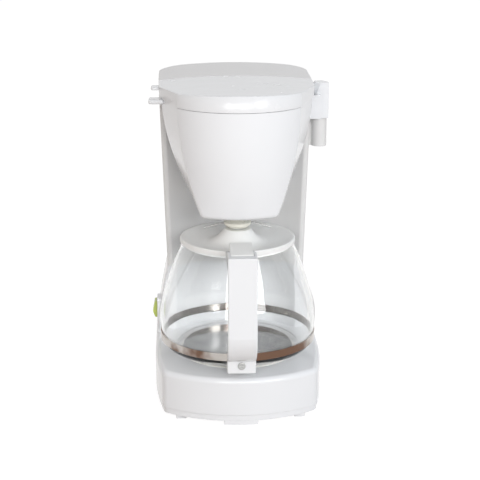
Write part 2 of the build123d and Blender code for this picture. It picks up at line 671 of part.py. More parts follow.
CLIP_R = HOSE_R + 0.7
CLIP_WIDTH = 3.0
CLIP_DROP = 8.0
with BuildPart() as hose_clips:
    for x in (-LINE_X, LINE_X):
        with BuildSketch(level(HOSE_TOP - CLIP_DROP, x, LINE_Y)):
            Circle(CLIP_R)
            Circle(HOSE_R, mode=Mode.SUBTRACT)
        extrude(amount=CLIP_WIDTH)
        with BuildSketch(front_plane(HEATER_END - CLIP_WIDTH)):
            with Locations((x, PIPE_Z)):
                Circle(CLIP_R)
                Circle(HOSE_R, mode=Mode.SUBTRACT)
        extrude(amount=CLIP_WIDTH)
write(hose_clips, "hose_clips")

# ---------------------------------------------------------------- water tank
RISER_R = 3.5
RISER_BORE = 2.4
RISER_COLLAR = 2.5
RISER_SOCKET = 3.0
BOSS_SKIN = 2.0              # material over a blind pilot hole
ARM_Z = CROWN_TOP - SKIN - RISER_R - 0.6
TANK_FLOOR_TOP = COLUMN_TOP + TANK_FLOOR
TANK_BOSS_TOP = TANK_FLOOR_TOP + 10.0
COVER_SCREW_X = TANK_TOP_HALF - 24.3
COVER_SCREW_Y = SEAM_Y + 20.0
COVER_BOSS_DEPTH = 16.0
HINGE_Y = REAR - 1.0
HINGE_Z = TANK_TOP + LID_KNUCKLE_R + MOVING_GAP
LUG_LOW = TANK_TOP - 14.0
BARREL_WEB_ROOT = 3.0       # the web starts this far inside the flank line
BARREL_FLOOR = 4.0


def tank_loft(inset, low):
    with BuildPart() as tank:
        for height, half, rear in (
            (low, COLUMN_TOP_HALF, COLUMN_TOP_REAR),
            (TANK_TOP, TANK_TOP_HALF, REAR),
        ):
            with BuildSketch(level(height)):
                add(tank_section(half, rear, inset))
        loft()
    return tank.part


def hinge_lug(x, width, low):
    """Rear hinge knuckle with the web that carries it, `width` wide about x."""
    with BuildPart() as lug:
        with BuildSketch(side_plane(x - width / 2)):
            with Locations((HINGE_Y, HINGE_Z)):
                Circle(LID_KNUCKLE_R)
            if low < HINGE_Z:
                with BuildLine():
                    Polyline(
                        (HINGE_Y - LID_KNUCKLE_R, HINGE_Z), (HINGE_Y + LID_KNUCKLE_R, HINGE_Z),
                        (HINGE_Y + LID_KNUCKLE_R, low + 2 * LID_KNUCKLE_R),
                        (HINGE_Y - LID_KNUCKLE_R, low), close=True,
                    )
                make_face()
        extrude(amount=width)
    return lug.part


LUG_PITCH = LID_LUG + REST_GAP
lug_places = [side * (LID_HINGE_X + step) for side in (-1, 1) for step in (-LUG_PITCH, LUG_PITCH)]
tank_outside = tank_loft(0.0, COLUMN_TOP)
tank_inside = tank_loft(TANK_WALL, TANK_FLOOR_TOP)
tank_lugs = [hinge_lug(x, LID_LUG, LUG_LOW) for x in lug_places]

with BuildPart() as water_tank:
    add(tank_outside)
    add(tank_inside, mode=Mode.SUBTRACT)
    # screw bosses on the floor, blind from below
    for x, y in TANK_SCREWS:
        add(disc_stack((BOSS_R, COLUMN_TOP, TANK_BOSS_TOP), x=x, y=y))
        with BuildSketch(level(COLUMN_TOP, x, y)):
            Circle(PILOT_R)
        extrude(amount=TANK_BOSS_TOP - COLUMN_TOP - BOSS_SKIN, mode=Mode.SUBTRACT)
    # nipples for the two hoses; the riser one also takes the riser tube
    for x in (-LINE_X, LINE_X):
        add(disc_stack((PIPE_R, NIPPLE_LOW, COLUMN_TOP),
                       (RISER_R + RISER_COLLAR, COLUMN_TOP, TANK_FLOOR_TOP + RISER_SOCKET), x=x, y=LINE_Y))
        with BuildSketch(level(NIPPLE_LOW, x, LINE_Y)):
            Circle(RISER_BORE)
        extrude(amount=2 * NIPPLE_LENGTH, mode=Mode.SUBTRACT)
    with BuildSketch(level(TANK_FLOOR_TOP, LINE_X, LINE_Y)):
        Circle(RISER_R + FIT_GAP)
    extrude(amount=NIPPLE_LENGTH, mode=Mode.SUBTRACT)
    # bosses for the front cover's screws
    for x in (-COVER_SCREW_X, COVER_SCREW_X):
        with BuildSketch(level(TANK_TOP - COVER_BOSS_DEPTH, x, COVER_SCREW_Y)):
            Circle(BOSS_R)
            with Locations((0, -BOSS_R)):
                Rectangle(2 * BOSS_R, BOSS_R)
        extrude(amount=COVER_BOSS_DEPTH)
        with BuildSketch(level(TANK_TOP - COVER_BOSS_DEPTH + BOSS_SKIN, x, COVER_SCREW_Y)):
            Circle(PILOT_R)
        extrude(amount=COVER_BOSS_DEPTH, mode=Mode.SUBTRACT)
    for lug in tank_lugs:
        add(lug)
    for side in (-1, 1):
        with BuildSketch(side_plane(side * LID_HINGE_X - 2 * LUG_PITCH)):
            with Locations((HINGE_Y, HINGE_Z)):
                Circle(LID_PIN_R)
        extrude(amount=4 * LUG_PITCH, mode=Mode.SUBTRACT)
    # hinge barrel of the filter holder, on a web behind it from the right flank
    add(disc_stack((BARREL_R, BARREL_LOW, BARREL_TOP), x=PIVOT_X, y=PIVOT_Y))
    with BuildSketch(level(BARREL_LOW)):
        with Locations((TANK_TOP_HALF - BARREL_WEB_ROOT, PIVOT_Y)):
            Rectangle(PIVOT_X - TANK_TOP_HALF + BARREL_WEB_ROOT, BARREL_R, align=Align.MIN)
    extrude(amount=BARREL_TOP - BARREL_LOW)
    with BuildSketch(level(BARREL_LOW + BARREL_FLOOR, PIVOT_X, PIVOT_Y)):
        Circle(PIVOT_PIN_R)
    extrude(amount=BARREL_TOP, mode=Mode.SUBTRACT)
write(water_tank, "water_tank")

with BuildPart() as tank_screws:
    for x, y in TANK_SCREWS:
        add(disc_stack((SCREW_HEAD_R, COLUMN_DECK_LOW - SCREW_HEAD, COLUMN_DECK_LOW),
                       (PILOT_R, COLUMN_DECK_LOW, TANK_BOSS_TOP - BOSS_SKIN - 1.0), x=x, y=y))
write(tank_screws, "tank_screws")

# ---------------------------------------------------------------- riser, spray arm, shower head
SHOWER_R = 26.0
SHOWER_LOW = RIM_Z + 0.2
SHOWER_THICK = 1.8
SOCKET_DEPTH = 8.0
SOCKET_WALL = 1.8
SHOWER_HOLE_R = 1.2
SHOWER_RINGS = ((9.0, 6), (18.0, 12))          # radius and number of holes
RISER_TOP = ARM_Z - 2 * RISER_R

with BuildPart() as riser_tube:
    with BuildSketch(level(TANK_FLOOR_TOP, LINE_X, LINE_Y)):
        Circle(RISER_R)
        Circle(RISER_BORE, mode=Mode.SUBTRACT)
    extrude(amount=RISER_TOP - TANK_FLOOR_TOP)
write(riser_tube, "riser_tube")

with BuildPart() as spray_arm:
    # socket on the riser, then forward and inward to the middle of the filter
    add(disc_stack((RISER_R + SOCKET_WALL, RISER_TOP - SOCKET_DEPTH, RISER_TOP + SOCKET_WALL),
                   (RISER_R, RISER_TOP, ARM_Z), x=LINE_X, y=LINE_Y))
    with Locations((LINE_X, BREW_Y + LINE_Y, ARM_Z)):
        Sphere(RISER_R)
    with BuildLine(level(ARM_Z)):
        Line((LINE_X, LINE_Y), (0, 0))
    with BuildSketch(Plane(origin=(LINE_X, BREW_Y + LINE_Y, ARM_Z), z_dir=(-LINE_X, -LINE_Y, 0))):
        Circle(RISER_R)
    sweep()
    with Locations((0, BREW_Y, ARM_Z)):
        Sphere(RISER_R)
    add(disc_stack((RISER_R, SHOWER_LOW + SHOWER_THICK, ARM_Z)))
    with BuildSketch(level(RISER_TOP - SOCKET_DEPTH, LINE_X, LINE_Y)):
        Circle(RISER_R + FIT_GAP)
    extrude(amount=SOCKET_DEPTH, mode=Mode.SUBTRACT)
write(spray_arm, "spray_arm")

with BuildPart() as shower_head:
    with BuildSketch(level(SHOWER_LOW)):
        Circle(SHOWER_R)
        for ring_r, holes in SHOWER_RINGS:
            with PolarLocations(ring_r, holes):
                Circle(SHOWER_HOLE_R, mode=Mode.SUBTRACT)
    extrude(amount=SHOWER_THICK)
write(shower_head, "shower_head")

# ---------------------------------------------------------------- front cover
TAB_Y = 20.0
TAB_LENGTH = 14.0
TAB_REACH = TANK_TOP_HALF + 6.7
TAB_THICK = 3.0
TAB_CORNER_R = 2.5
TAB_Z = TANK_TOP + 2.5
EAR_THICK = 2.0
EAR_WIDTH = 13.0
ARM_NOTCH = 3 * RISER_R
ARM_ROOM = 0.5
DIMPLE_X, DIMPLE_Y, DIMPLE_R, DIMPLE_DEPTH = 3.0, -31.0, 3.4, 0.7

COVER_EXTRA = 1.0           # the cover is drawn this much taller, then cut by the crown
SEAM_CUT = WALL + 2.0       # depth of the cuts through the walls at the seam


def cover_body(inset, skin):
    """Front cover from its rim to a skin below the crown."""
    height = CROWN_TOP - RIM_Z + COVER_EXTRA
    with BuildPart() as body:
        for step in range(COVER_SECTIONS):
            rise = height * step / (COVER_SECTIONS - 1)
            with BuildSketch(level(RIM_Z + rise)):
                add(cover_plan(rise, inset))
        loft()
        add(under_crown(RIM_Z, skin), mode=Mode.INTERSECT)
    return body.part


cover_outside = cover_body(0.0, 0.0)
cover_inside = cover_body(WALL, SKIN)


def side_tab(x, y, z, reach, length, thick):
    """Finger tab with a rounded end, standing out from x to `reach` on the left."""
    with BuildPart() as tab:
        with BuildSketch(level(z)):
            with Locations(((x + reach) / -2, y)):
                RectangleRounded(reach - x, length, TAB_CORNER_R)
        extrude(amount=thick)
        fillet(tab.edges().filter_by(Plane.XY), thick * 0.4)
    return tab.part


upper_tab = side_tab(COVER_SIDE_X - WALL / 2, TAB_Y, TAB_Z, TAB_REACH, TAB_LENGTH, TAB_THICK)

with BuildPart() as front_cover:
    add(cover_outside)
    crown = front_cover.faces().sort_by(Axis.Z)[-1].edges().filter_by(
        lambda e: e.center().Y < BREW_Y + SEAM_Y - 1.0)
    fillet(crown, TOP_EDGE_R)
    add(cover_inside, mode=Mode.SUBTRACT)
    add(upper_tab)
    # ears that lie on the tank under its lid
    for x in (-COVER_SCREW_X, COVER_SCREW_X):
        with BuildSketch(level(TANK_TOP, x, 0)):
            with Locations((0, (SEAM_Y - WALL + COVER_SCREW_Y + BOSS_R) / 2)):
                Rectangle(EAR_WIDTH, COVER_SCREW_Y + BOSS_R - SEAM_Y + WALL)
        extrude(amount=EAR_THICK)
        with BuildSketch(level(TANK_TOP, x, COVER_SCREW_Y)):
            Circle(SCREW_R + SCREW_SLACK)
        extrude(amount=EAR_THICK, mode=Mode.SUBTRACT)
    # notch in the back wall for the spray arm
    with BuildSketch(front_plane(SEAM_Y + 1.0)):
        with Locations((LINE_X * SEAM_Y / LINE_Y, RIM_Z)):
            Rectangle(ARM_NOTCH, ARM_Z + RISER_R + ARM_ROOM - RIM_Z, align=(Align.CENTER, Align.MIN))
    extrude(amount=SEAM_CUT, mode=Mode.SUBTRACT)
    # moulding dimple near the front of the crown
    sphere_r = (DIMPLE_R**2 + DIMPLE_DEPTH**2) / (2 * DIMPLE_DEPTH)
    with Locations((DIMPLE_X, BREW_Y + DIMPLE_Y, CROWN_TOP + sphere_r - DIMPLE_DEPTH)):
        Sphere(sphere_r, mode=Mode.SUBTRACT)
write(front_cover, "front_cover")

COVER_SCREW_LENGTH = 11.0
with BuildPart() as cover_screws:
    for x in (-COVER_SCREW_X, COVER_SCREW_X):
        low = TANK_TOP + EAR_THICK
        add(disc_stack((SCREW_HEAD_R, low, low + SCREW_HEAD),
                       (PILOT_R, TANK_TOP - COVER_SCREW_LENGTH, low), x=x, y=COVER_SCREW_Y))
write(cover_screws, "cover_screws")

# ---------------------------------------------------------------- tank lid and its hinge
LID_LOW = TANK_TOP + 0.4


def lid_body(inset, skin):
    """Tank lid from its lower edge to a skin below the crown."""
    with BuildPart() as body:
        with BuildSketch(level(LID_LOW)):
            add(lid_plan(inset))
        extrude(amount=CROWN_TOP - LID_LOW)
        add(under_crown(LID_LOW, skin), mode=Mode.INTERSECT)
    return body.part


lid_outside = lid_body(0.0, 0.0)
lid_inside = lid_body(WALL, SKIN)
lid_knuckles = [hinge_lug(side * LID_HINGE_X, LID_LUG, HINGE_Z) for side in (-1, 1)]

with BuildPart() as tank_lid:
    add(lid_outside)
    crown = tank_lid.faces().sort_by(Axis.Z)[-1].edges().filter_by(
        lambda e: e.center().Y > BREW_Y + SEAM_Y + 1.0)
    fillet(crown, TOP_EDGE_R)
    add(lid_inside, mode=Mode.SUBTRACT)
    # the ears and screws of the front cover lie under the lid's front wall
    with BuildSketch(front_plane(SEAM_Y + WALL + 1.0)):
        for x in (-COVER_SCREW_X, COVER_SCREW_X):
            with Locations((x, LID_LOW)):
                Rectangle(EAR_WIDTH + 1.0, EAR_THICK + 0.5, align=(Align.CENTER, Align.MIN))
        with Locations((LINE_X * SEAM_Y / LINE_Y, LID_LOW)):
            Rectangle(ARM_NOTCH, ARM_Z + RISER_R + ARM_ROOM - LID_LOW, align=(Align.CENTER, Align.MIN))
    extrude(amount=SEAM_CUT, mode=Mode.SUBTRACT)
    # room for the tank's lugs, then the lid's own knuckles
    for x in lug_places:
        with BuildSketch(side_plane(x - LID_LUG / 2 - REST_GAP)):
            with Locations((HINGE_Y, HINGE_Z)):
                Circle(LID_KNUCKLE_R + MOVING_GAP)
                Rectangle(2 * LID_KNUCKLE_R + 2 * MOVING_GAP, 2 * LID_KNUCKLE_R + MOVING_GAP,
                          align=(Align.CENTER, Align.MAX))
        extrude(amount=LID_LUG + 2 * REST_GAP, mode=Mode.SUBTRACT)
    for knuckle in lid_knuckles:
        add(knuckle)
    with BuildSketch(side_plane(-TANK_TOP_HALF)):
        with Locations((HINGE_Y, HINGE_Z)):
            Circle(LID_PIN_R + BORE_CLEARANCE)
    extrude(amount=2 * TANK_TOP_HALF, mode=Mode.SUBTRACT)
write(tank_lid, "tank_lid")

with BuildPart() as lid_hinge_pins:
    for side in (-1, 1):
        with BuildSketch(side_plane(side * LID_HINGE_X - LUG_PITCH - LID_LUG / 2)):
            with Locations((HINGE_Y, HINGE_Z)):
                Circle(LID_PIN_R)
        extrude(amount=2 * LUG_PITCH + LID_LUG)
write(lid_hinge_pins, "lid_hinge_pins")

# ---------------------------------------------------------------- switch and mains parts
PAD_DEPTH = 5.0
BEZEL_Y = SWITCH_OPENING_Y + 4.0
BEZEL_Z = SWITCH_OPENING_Z + 3.0
BEZEL_CORNER_R = 2.0
BEZEL_EDGE_R = 0.6
SWITCH_FLOOR = 6.0
BLADE_REACH = 5.0
BLADE_PITCH = 10.0
SWITCH_DEPTH = 17.0
WINDOW_HALF = ROCKER_HALF + 1.0
ROCKER_PIVOT_X = SWITCH_FACE - 3.0
ROCKER_PIN_R = 1.2
flank_plane = Plane(origin=(-SWITCH_FACE, BREW_Y, 0), x_dir=(0, 1, 0), z_dir=(1, 0, 0))

with BuildPart() as switch_body:
    with BuildSketch(flank_plane):
        with Locations((SWITCH_Y, SWITCH_Z)):
            RectangleRounded(BEZEL_Y, BEZEL_Z, BEZEL_CORNER_R)
    extrude(amount=PAD_DEPTH)
    fillet(switch_body.edges().group_by(Axis.X)[0], BEZEL_EDGE_R)
    with BuildSketch(flank_plane):
        with Locations((SWITCH_Y, SWITCH_Z)):
            Rectangle(SWITCH_OPENING_Y - 2 * FIT_GAP, SWITCH_OPENING_Z - 2 * FIT_GAP)
    extrude(amount=SWITCH_DEPTH)
    # the bezel's seat follows the leaning flank of the column
    add(column_outside, mode=Mode.SUBTRACT)
    with BuildSketch(flank_plane):
        with Locations((SWITCH_Y, SWITCH_Z)):
            Rectangle(SWITCH_OPENING_Y - 2 * FIT_GAP, SWITCH_OPENING_Z - 2 * FIT_GAP)
    extrude(amount=SWITCH_DEPTH)
    with BuildSketch(flank_plane):
        with Locations((SWITCH_Y, SWITCH_Z)):
            Rectangle(ROCKER_WIDTH + 2 * REST_GAP, 2 * WINDOW_HALF)
    extrude(amount=SWITCH_DEPTH - SWITCH_FLOOR, mode=Mode.SUBTRACT)
    # pivot pin from side wall to side wall
    with BuildSketch(front_plane(SWITCH_Y + SWITCH_OPENING_Y / 2 - 0.5)):
        with Locations((-ROCKER_PIVOT_X, SWITCH_Z)):
            Circle(ROCKER_PIN_R)
    extrude(amount=SWITCH_OPENING_Y - 1.0)
    # blade terminals
    for z in (-BLADE_PITCH / 2, BLADE_PITCH / 2):
        with BuildSketch(Plane(origin=(-SWITCH_FACE + SWITCH_DEPTH, BREW_Y, 0),
                               x_dir=(0, 1, 0), z_dir=(1, 0, 0))):
            with Locations((SWITCH_Y, SWITCH_Z + z)):
                Rectangle(BLADE_WIDTH, BLADE_THICK)
        extrude(amount=BLADE_REACH)
write(switch_body, "switch_body")

# rocker outline: distance out from the pivot, height above it
ROCKER_OUTLINE = [
    (-1.0, 6.0), (3.5, ROCKER_HALF), (5.6, ROCKER_HALF - 0.4),
    (3.0 + ROCKER_REACH, -1.5), (3.0 + ROCKER_REACH - 0.4, -3.5),
    (5.4, -ROCKER_HALF + 0.6), (3.5, -ROCKER_HALF), (-1.0, -6.0),
]
with BuildPart() as switch_rocker:
    with BuildSketch(front_plane(SWITCH_Y + ROCKER_WIDTH / 2)):
        with BuildLine():
            Polyline(*[(-ROCKER_PIVOT_X - out, SWITCH_Z + up) for out, up in ROCKER_OUTLINE], close=True)
        make_face()
    extrude(amount=ROCKER_WIDTH)
    ridge = switch_rocker.edges().filter_by(Axis.Y).group_by(Axis.X)[:2]
    fillet([edge for group in ridge for edge in group], 1.0)
    with BuildSketch(front_plane(SWITCH_Y + ROCKER_WIDTH / 2)):
        with Locations((-ROCKER_PIVOT_X, SWITCH_Z)):
            Circle(ROCKER_PIN_R + BORE_CLEARANCE)
    extrude(amount=ROCKER_WIDTH, mode=Mode.SUBTRACT)
write(switch_rocker, "switch_rocker")

BLOCK_Y = REAR - 43.0
BLOCK_LONG, BLOCK_WIDE, BLOCK_HIGH = 30.0, 12.0, 14.0
BLOCK_HOLE_R, BLOCK_HOLE_DEPTH = 2.4, 5.0
BLOCK_POLES = 3
with BuildPart() as terminal_block:
    with BuildSketch(level(PLATE_FLOOR_TOP, GLAND_X, BLOCK_Y)):
        Rectangle(BLOCK_LONG, BLOCK_WIDE)
    extrude(amount=BLOCK_HIGH)
    fillet(terminal_block.edges().group_by(Axis.Z)[-1], 1.0)
    with BuildSketch(level(PLATE_FLOOR_TOP + BLOCK_HIGH, GLAND_X, BLOCK_Y)):
        with GridLocations(BLOCK_LONG / BLOCK_POLES, 1.0, BLOCK_POLES, 1):
            Circle(BLOCK_HOLE_R)
    extrude(amount=-BLOCK_HOLE_DEPTH, mode=Mode.SUBTRACT)
write(terminal_block, "terminal_block")

GLAND_OUTER, GLAND_FLANGE = 1.4, 2.0            # how far it stands out, and its two flanges
GLAND_BORE_R = 3.2
GLAND_LENGTH = 14.0
GLAND_LEAD = 20.0
with BuildPart() as cord_gland:
    for radius, back, length in (
        (GLAND_R, REAR, GLAND_LENGTH),
        (GLAND_R + GLAND_FLANGE, REAR + GLAND_OUTER, GLAND_FLANGE),
        (GLAND_R + GLAND_FLANGE, REAR - REAR_BOW - FIT_GAP, GLAND_FLANGE),
    ):
        with BuildSketch(front_plane(back)):
            with Locations((GLAND_X, GLAND_Z)):
                Circle(radius)
        extrude(amount=length)
    with BuildSketch(front_plane(REAR + GLAND_FLANGE)):
        with Locations((GLAND_X, GLAND_Z)):
            Circle(GLAND_BORE_R)
    extrude(amount=GLAND_LEAD, mode=Mode.SUBTRACT)
    add(base_housing.part, mode=Mode.SUBTRACT)
write(cord_gland, "cord_gland")

# ---------------------------------------------------------------- filter holder
HOLDER_FLOOR = 2.4
HOLDER_FLOOR_TOP = HOLDER_BOTTOM + HOLDER_FLOOR
RIB_TOP = HOLDER_BOTTOM + 22.0
RIB_RING, RIB_LENGTH, RIB_THICK = 22.0, 16.0, 1.8
BRIDGE_Z = HOLDER_BOTTOM + 17.0
BRIDGE_THICK = 2.5
BRIDGE_RING, BRIDGE_LENGTH, BRIDGE_WIDTH = 8.0, 16.0, 3.0
GUIDE_R = 6.0
STEM_SLACK = 0.4
OUTLET_R = 5.0
ARM_LOW = BARREL_TOP + 1.5
ARM_HIGH = HOLDER_TOP - 3.0
ARM_FRONT = TANK_WING_Y - 12.5
ARM_BACK = TANK_WING_Y - 1.0
ARM_ROOT = 5.0              # the arm starts this far inside the holder's flank
KNUCKLE_FRONT = PIVOT_Y - 9.0
KNUCKLE_EDGE = 3.0          # chamfer beside the tank lid
KNUCKLE_FACET = (8.5, 6.0, 17.0)                # cut corner: along x, y and z
KNUCKLE_SKIN = 3.0
KNUCKLE_WIDE = 8.2          # knuckle block beyond the pivot, to the right
KNUCKLE_NARROW = PIVOT_X - TANK_TOP_HALF - MOVING_GAP   # and towards the tank
KNUCKLE_INNER = PIVOT_X - KNUCKLE_NARROW
LOW_TAB_THICK = 4.5
LOW_TAB_REACH = TAB_REACH + 2.5
LOW_TAB_Y = 10.0


def holder_loft(inset, low):
    """Holder body from its rim down to `low`, through equal steps of depth."""
    span = HOLDER_TOP - HOLDER_BOTTOM
    with BuildPart() as body:
        for step in range(HOLDER_SECTIONS + 1):
            height = low + (HOLDER_TOP - low) * step / HOLDER_SECTIONS
            with BuildSketch(level(height)):
                add(holder_section((HOLDER_TOP - height) / span, inset))
        loft()
    return body.part


holder_outside = holder_loft(0.0, HOLDER_BOTTOM)
holder_inside = holder_loft(WALL, HOLDER_FLOOR_TOP)
low_tab = side_tab(HOLDER_SIDE - WALL, LOW_TAB_Y, HOLDER_TOP - LOW_TAB_THICK, LOW_TAB_REACH,
                   TAB_LENGTH + 2.0, LOW_TAB_THICK)

with BuildPart() as filter_holder:
    add(holder_outside)
    fillet(filter_holder.faces().sort_by(Axis.Z)[0].edges(), HOLDER_BOTTOM_R)
    add(low_tab)
    # knuckle over the fixed barrel, joined to the holder's flank by an arm
    with BuildSketch(level(BARREL_TOP + REST_GAP, PIVOT_X, PIVOT_Y)):
        Circle(BARREL_R - 0.4)
        with Locations(((KNUCKLE_WIDE - KNUCKLE_NARROW) / 2, (KNUCKLE_FRONT - PIVOT_Y) / 2)):
            Rectangle(KNUCKLE_WIDE + KNUCKLE_NARROW, PIVOT_Y - KNUCKLE_FRONT)
    extrude(amount=KNUCKLE_TOP - BARREL_TOP - REST_GAP)
    with BuildSketch(level(ARM_LOW)):
        with Locations((HOLDER_SIDE - ARM_ROOT, ARM_FRONT)):
            Rectangle(PIVOT_X - HOLDER_SIDE + ARM_ROOT, ARM_BACK - ARM_FRONT, align=Align.MIN)
    extrude(amount=ARM_HIGH - ARM_LOW)
    # the block's inner top edge is chamfered and its front corner cut to a facet
    with BuildSketch(front_plane(PIVOT_Y + 2 * BARREL_R)):
        with Locations((KNUCKLE_INNER, KNUCKLE_TOP)):
            Rectangle(KNUCKLE_EDGE * sqrt(2), KNUCKLE_EDGE * sqrt(2), rotation=45)
    extrude(amount=4 * BARREL_R, mode=Mode.SUBTRACT)
    facet_x, facet_y, facet_z = KNUCKLE_FACET
    with BuildSketch(level(KNUCKLE_TOP, KNUCKLE_INNER, KNUCKLE_FRONT)):
        Polygon((-facet_x, -facet_y), (2 * facet_x, -facet_y), (-facet_x, 2 * facet_y), align=None)
    with BuildSketch(level(KNUCKLE_TOP - 2 * facet_z, KNUCKLE_INNER, KNUCKLE_FRONT)):
        Polygon((-facet_x, -facet_y), (0.0, -facet_y), (-facet_x, 0.0), align=None)
    loft(mode=Mode.SUBTRACT)
    add(holder_inside, mode=Mode.SUBTRACT)
    with BuildSketch(level(BARREL_TOP, PIVOT_X, PIVOT_Y)):
        Circle(PIVOT_PIN_R + BORE_CLEARANCE)
    extrude(amount=KNUCKLE_TOP - BARREL_TOP - KNUCKLE_SKIN, mode=Mode.SUBTRACT)
    # ribs that carry the filter basket, and the guide bridge of the drip valve
    with BuildSketch(level(HOLDER_FLOOR_TOP)):
        with PolarLocations(RIB_RING, 4, start_angle=45):
            Rectangle(RIB_LENGTH, RIB_THICK)
    extrude(amount=RIB_TOP - HOLDER_FLOOR_TOP)
    with BuildSketch(level(BRIDGE_Z)):
        with PolarLocations(BRIDGE_RING, 4, start_angle=45):
            Rectangle(BRIDGE_LENGTH, BRIDGE_WIDTH)
        Circle(GUIDE_R)
    extrude(amount=BRIDGE_THICK)
    with BuildSketch(level(HOLDER_BOTTOM)):
        Circle(VALVE_STEM_R + STEM_SLACK)
    extrude(amount=RIB_TOP - HOLDER_BOTTOM, mode=Mode.SUBTRACT)
    with BuildSketch(level(HOLDER_BOTTOM)):
        Circle(OUTLET_R)
    extrude(amount=HOLDER_FLOOR, mode=Mode.SUBTRACT)
write(filter_holder, "filter_holder")

with BuildPart() as holder_pin:
    add(disc_stack((PIVOT_PIN_R, BARREL_LOW + BARREL_FLOOR, KNUCKLE_TOP - KNUCKLE_SKIN - 0.5),
                   x=PIVOT_X, y=PIVOT_Y))
write(holder_pin, "holder_pin")

BASKET_TOP = HOLDER_TOP - 4.0
BASKET_TOP_R = HOLDER_CORNER
BASKET_LOW_R = 31.0
BASKET_WALL = 1.6
BASKET_RIM = 2.0            # width of its turned-out rim
DRAIN_SLOTS, DRAIN_PITCH = 7, 6.0
DRAIN_LENGTH, DRAIN_WIDTH = 34.0, 2.0
with BuildPart() as filter_insert:
    with BuildSketch(side_plane()):
        with BuildLine():
            rim_root, floor_top = BASKET_TOP_R - BASKET_RIM, RIB_TOP + BASKET_WALL
            Polyline((0, RIB_TOP), (BASKET_LOW_R, RIB_TOP), (rim_root, BASKET_TOP),
                     (BASKET_TOP_R, BASKET_TOP), (BASKET_TOP_R, BASKET_TOP + BASKET_WALL),
                     (rim_root - BASKET_WALL, BASKET_TOP + BASKET_WALL),
                     (BASKET_LOW_R - BASKET_WALL, floor_top), (0, floor_top), close=True)
        make_face()
    revolve(axis=Axis((0, BREW_Y, 0), (0, 0, 1)))
    with BuildSketch(level(RIB_TOP)):
        with GridLocations(DRAIN_PITCH, 1.0, DRAIN_SLOTS, 1):
            SlotOverall(DRAIN_LENGTH, DRAIN_WIDTH, rotation=90)
    extrude(amount=BASKET_WALL, mode=Mode.SUBTRACT)
write(filter_insert, "filter_insert")

# ---------------------------------------------------------------- drip stop
CUP_HEIGHT = 5.0
CUP_CHAMFER_IN, CUP_CHAMFER_UP = 3.0, 2.6
CUP_SLOPE = 2.0
NECK_R = 4.2
NECK_GAP = 0.6              # neck stands this far into the outlet at rest
SEAL_THICK = 2.0
SEAL_GAP = 0.1
VALVE_DISC_R = 8.5
VALVE_DISC_LOW = HOLDER_FLOOR_TOP + SEAL_THICK
VALVE_DISC_TOP = VALVE_DISC_LOW + 1.6
STEM_TOP = BRIDGE_Z + BRIDGE_THICK - 0.5
DRIP_HOLES, DRIP_HOLE_R, DRIP_RING = 4, 1.5, 8.0
SPRING_WIRE = 0.8
SPRING_R = 4.6
SPRING_TURNS = 4
SPRING_END_GAP = 0.05
FEELER_REACH = 32.0
FEELER_WIRE_R = 0.8

with BuildPart() as drip_valve:
    with BuildSketch(side_plane()):
        with BuildLine():
            Polyline(
                (0, VALVE_LOW), (VALVE_CUP_R - CUP_CHAMFER_IN, VALVE_LOW),
                (VALVE_CUP_R, VALVE_LOW + CUP_CHAMFER_UP), (VALVE_CUP_R, VALVE_LOW + CUP_HEIGHT),
                (NECK_R, VALVE_LOW + CUP_HEIGHT + CUP_SLOPE), (NECK_R, HOLDER_BOTTOM + NECK_GAP),
                (VALVE_STEM_R, HOLDER_BOTTOM + NECK_GAP), (VALVE_STEM_R, VALVE_DISC_LOW),
                (VALVE_DISC_R, VALVE_DISC_LOW), (VALVE_DISC_R, VALVE_DISC_TOP),
                (VALVE_STEM_R, VALVE_DISC_TOP), (VALVE_STEM_R, STEM_TOP), (0, STEM_TOP), close=True,
            )
        make_face()
    revolve(axis=Axis((0, BREW_Y, 0), (0, 0, 1)))
    # drip holes through the cup
    with BuildSketch(level(VALVE_LOW)):
        with PolarLocations(DRIP_RING, DRIP_HOLES, start_angle=45):
            Circle(DRIP_HOLE_R)
    extrude(amount=CUP_HEIGHT + CUP_SLOPE, mode=Mode.SUBTRACT)
write(drip_valve, "drip_valve")

with BuildPart() as valve_seal:
    with BuildSketch(level(HOLDER_FLOOR_TOP + SEAL_GAP)):
        Circle(VALVE_DISC_R)
        Circle(VALVE_STEM_R, mode=Mode.SUBTRACT)
    extrude(amount=SEAL_THICK - SEAL_GAP)
write(valve_seal, "valve_seal")

SPRING_LOW = VALVE_DISC_TOP + SPRING_WIRE / 2
SPRING_HIGH = BRIDGE_Z - SPRING_WIRE / 2 - SPRING_END_GAP
with BuildPart() as valve_spring:
    with BuildLine():
        coil = Helix((SPRING_HIGH - SPRING_LOW) / SPRING_TURNS, SPRING_HIGH - SPRING_LOW, SPRING_R,
                     center=(0, BREW_Y, SPRING_LOW))
    with BuildSketch(Plane(origin=coil @ 0, z_dir=coil % 0)):
        Circle(SPRING_WIRE / 2)
    sweep(is_frenet=True)
write(valve_spring, "valve_spring")

# two sprung wire arms that bow out and down from the cup
FEELER_END_Z = VALVE_LOW - 1.2
FEELER_BEND = (VALVE_CUP_R + 2.0, VALVE_LOW + 3.2)
FEELER_TOP = VALVE_LOW + CUP_HEIGHT + 0.4
with BuildPart() as valve_feeler:
    with BuildLine(front_plane()):
        bend_x, bend_z = FEELER_BEND
        bow = Spline((-FEELER_REACH, FEELER_END_Z), (-bend_x, bend_z), (0, FEELER_TOP),
                     (bend_x, bend_z), (FEELER_REACH, FEELER_END_Z))
    with BuildSketch(Plane(origin=bow @ 0, z_dir=bow % 0)):
        Circle(FEELER_WIRE_R)
    sweep()
    add(disc_stack((VALVE_CUP_R, VALVE_LOW, HOLDER_BOTTOM)), mode=Mode.SUBTRACT)
write(valve_feeler, "valve_feeler")

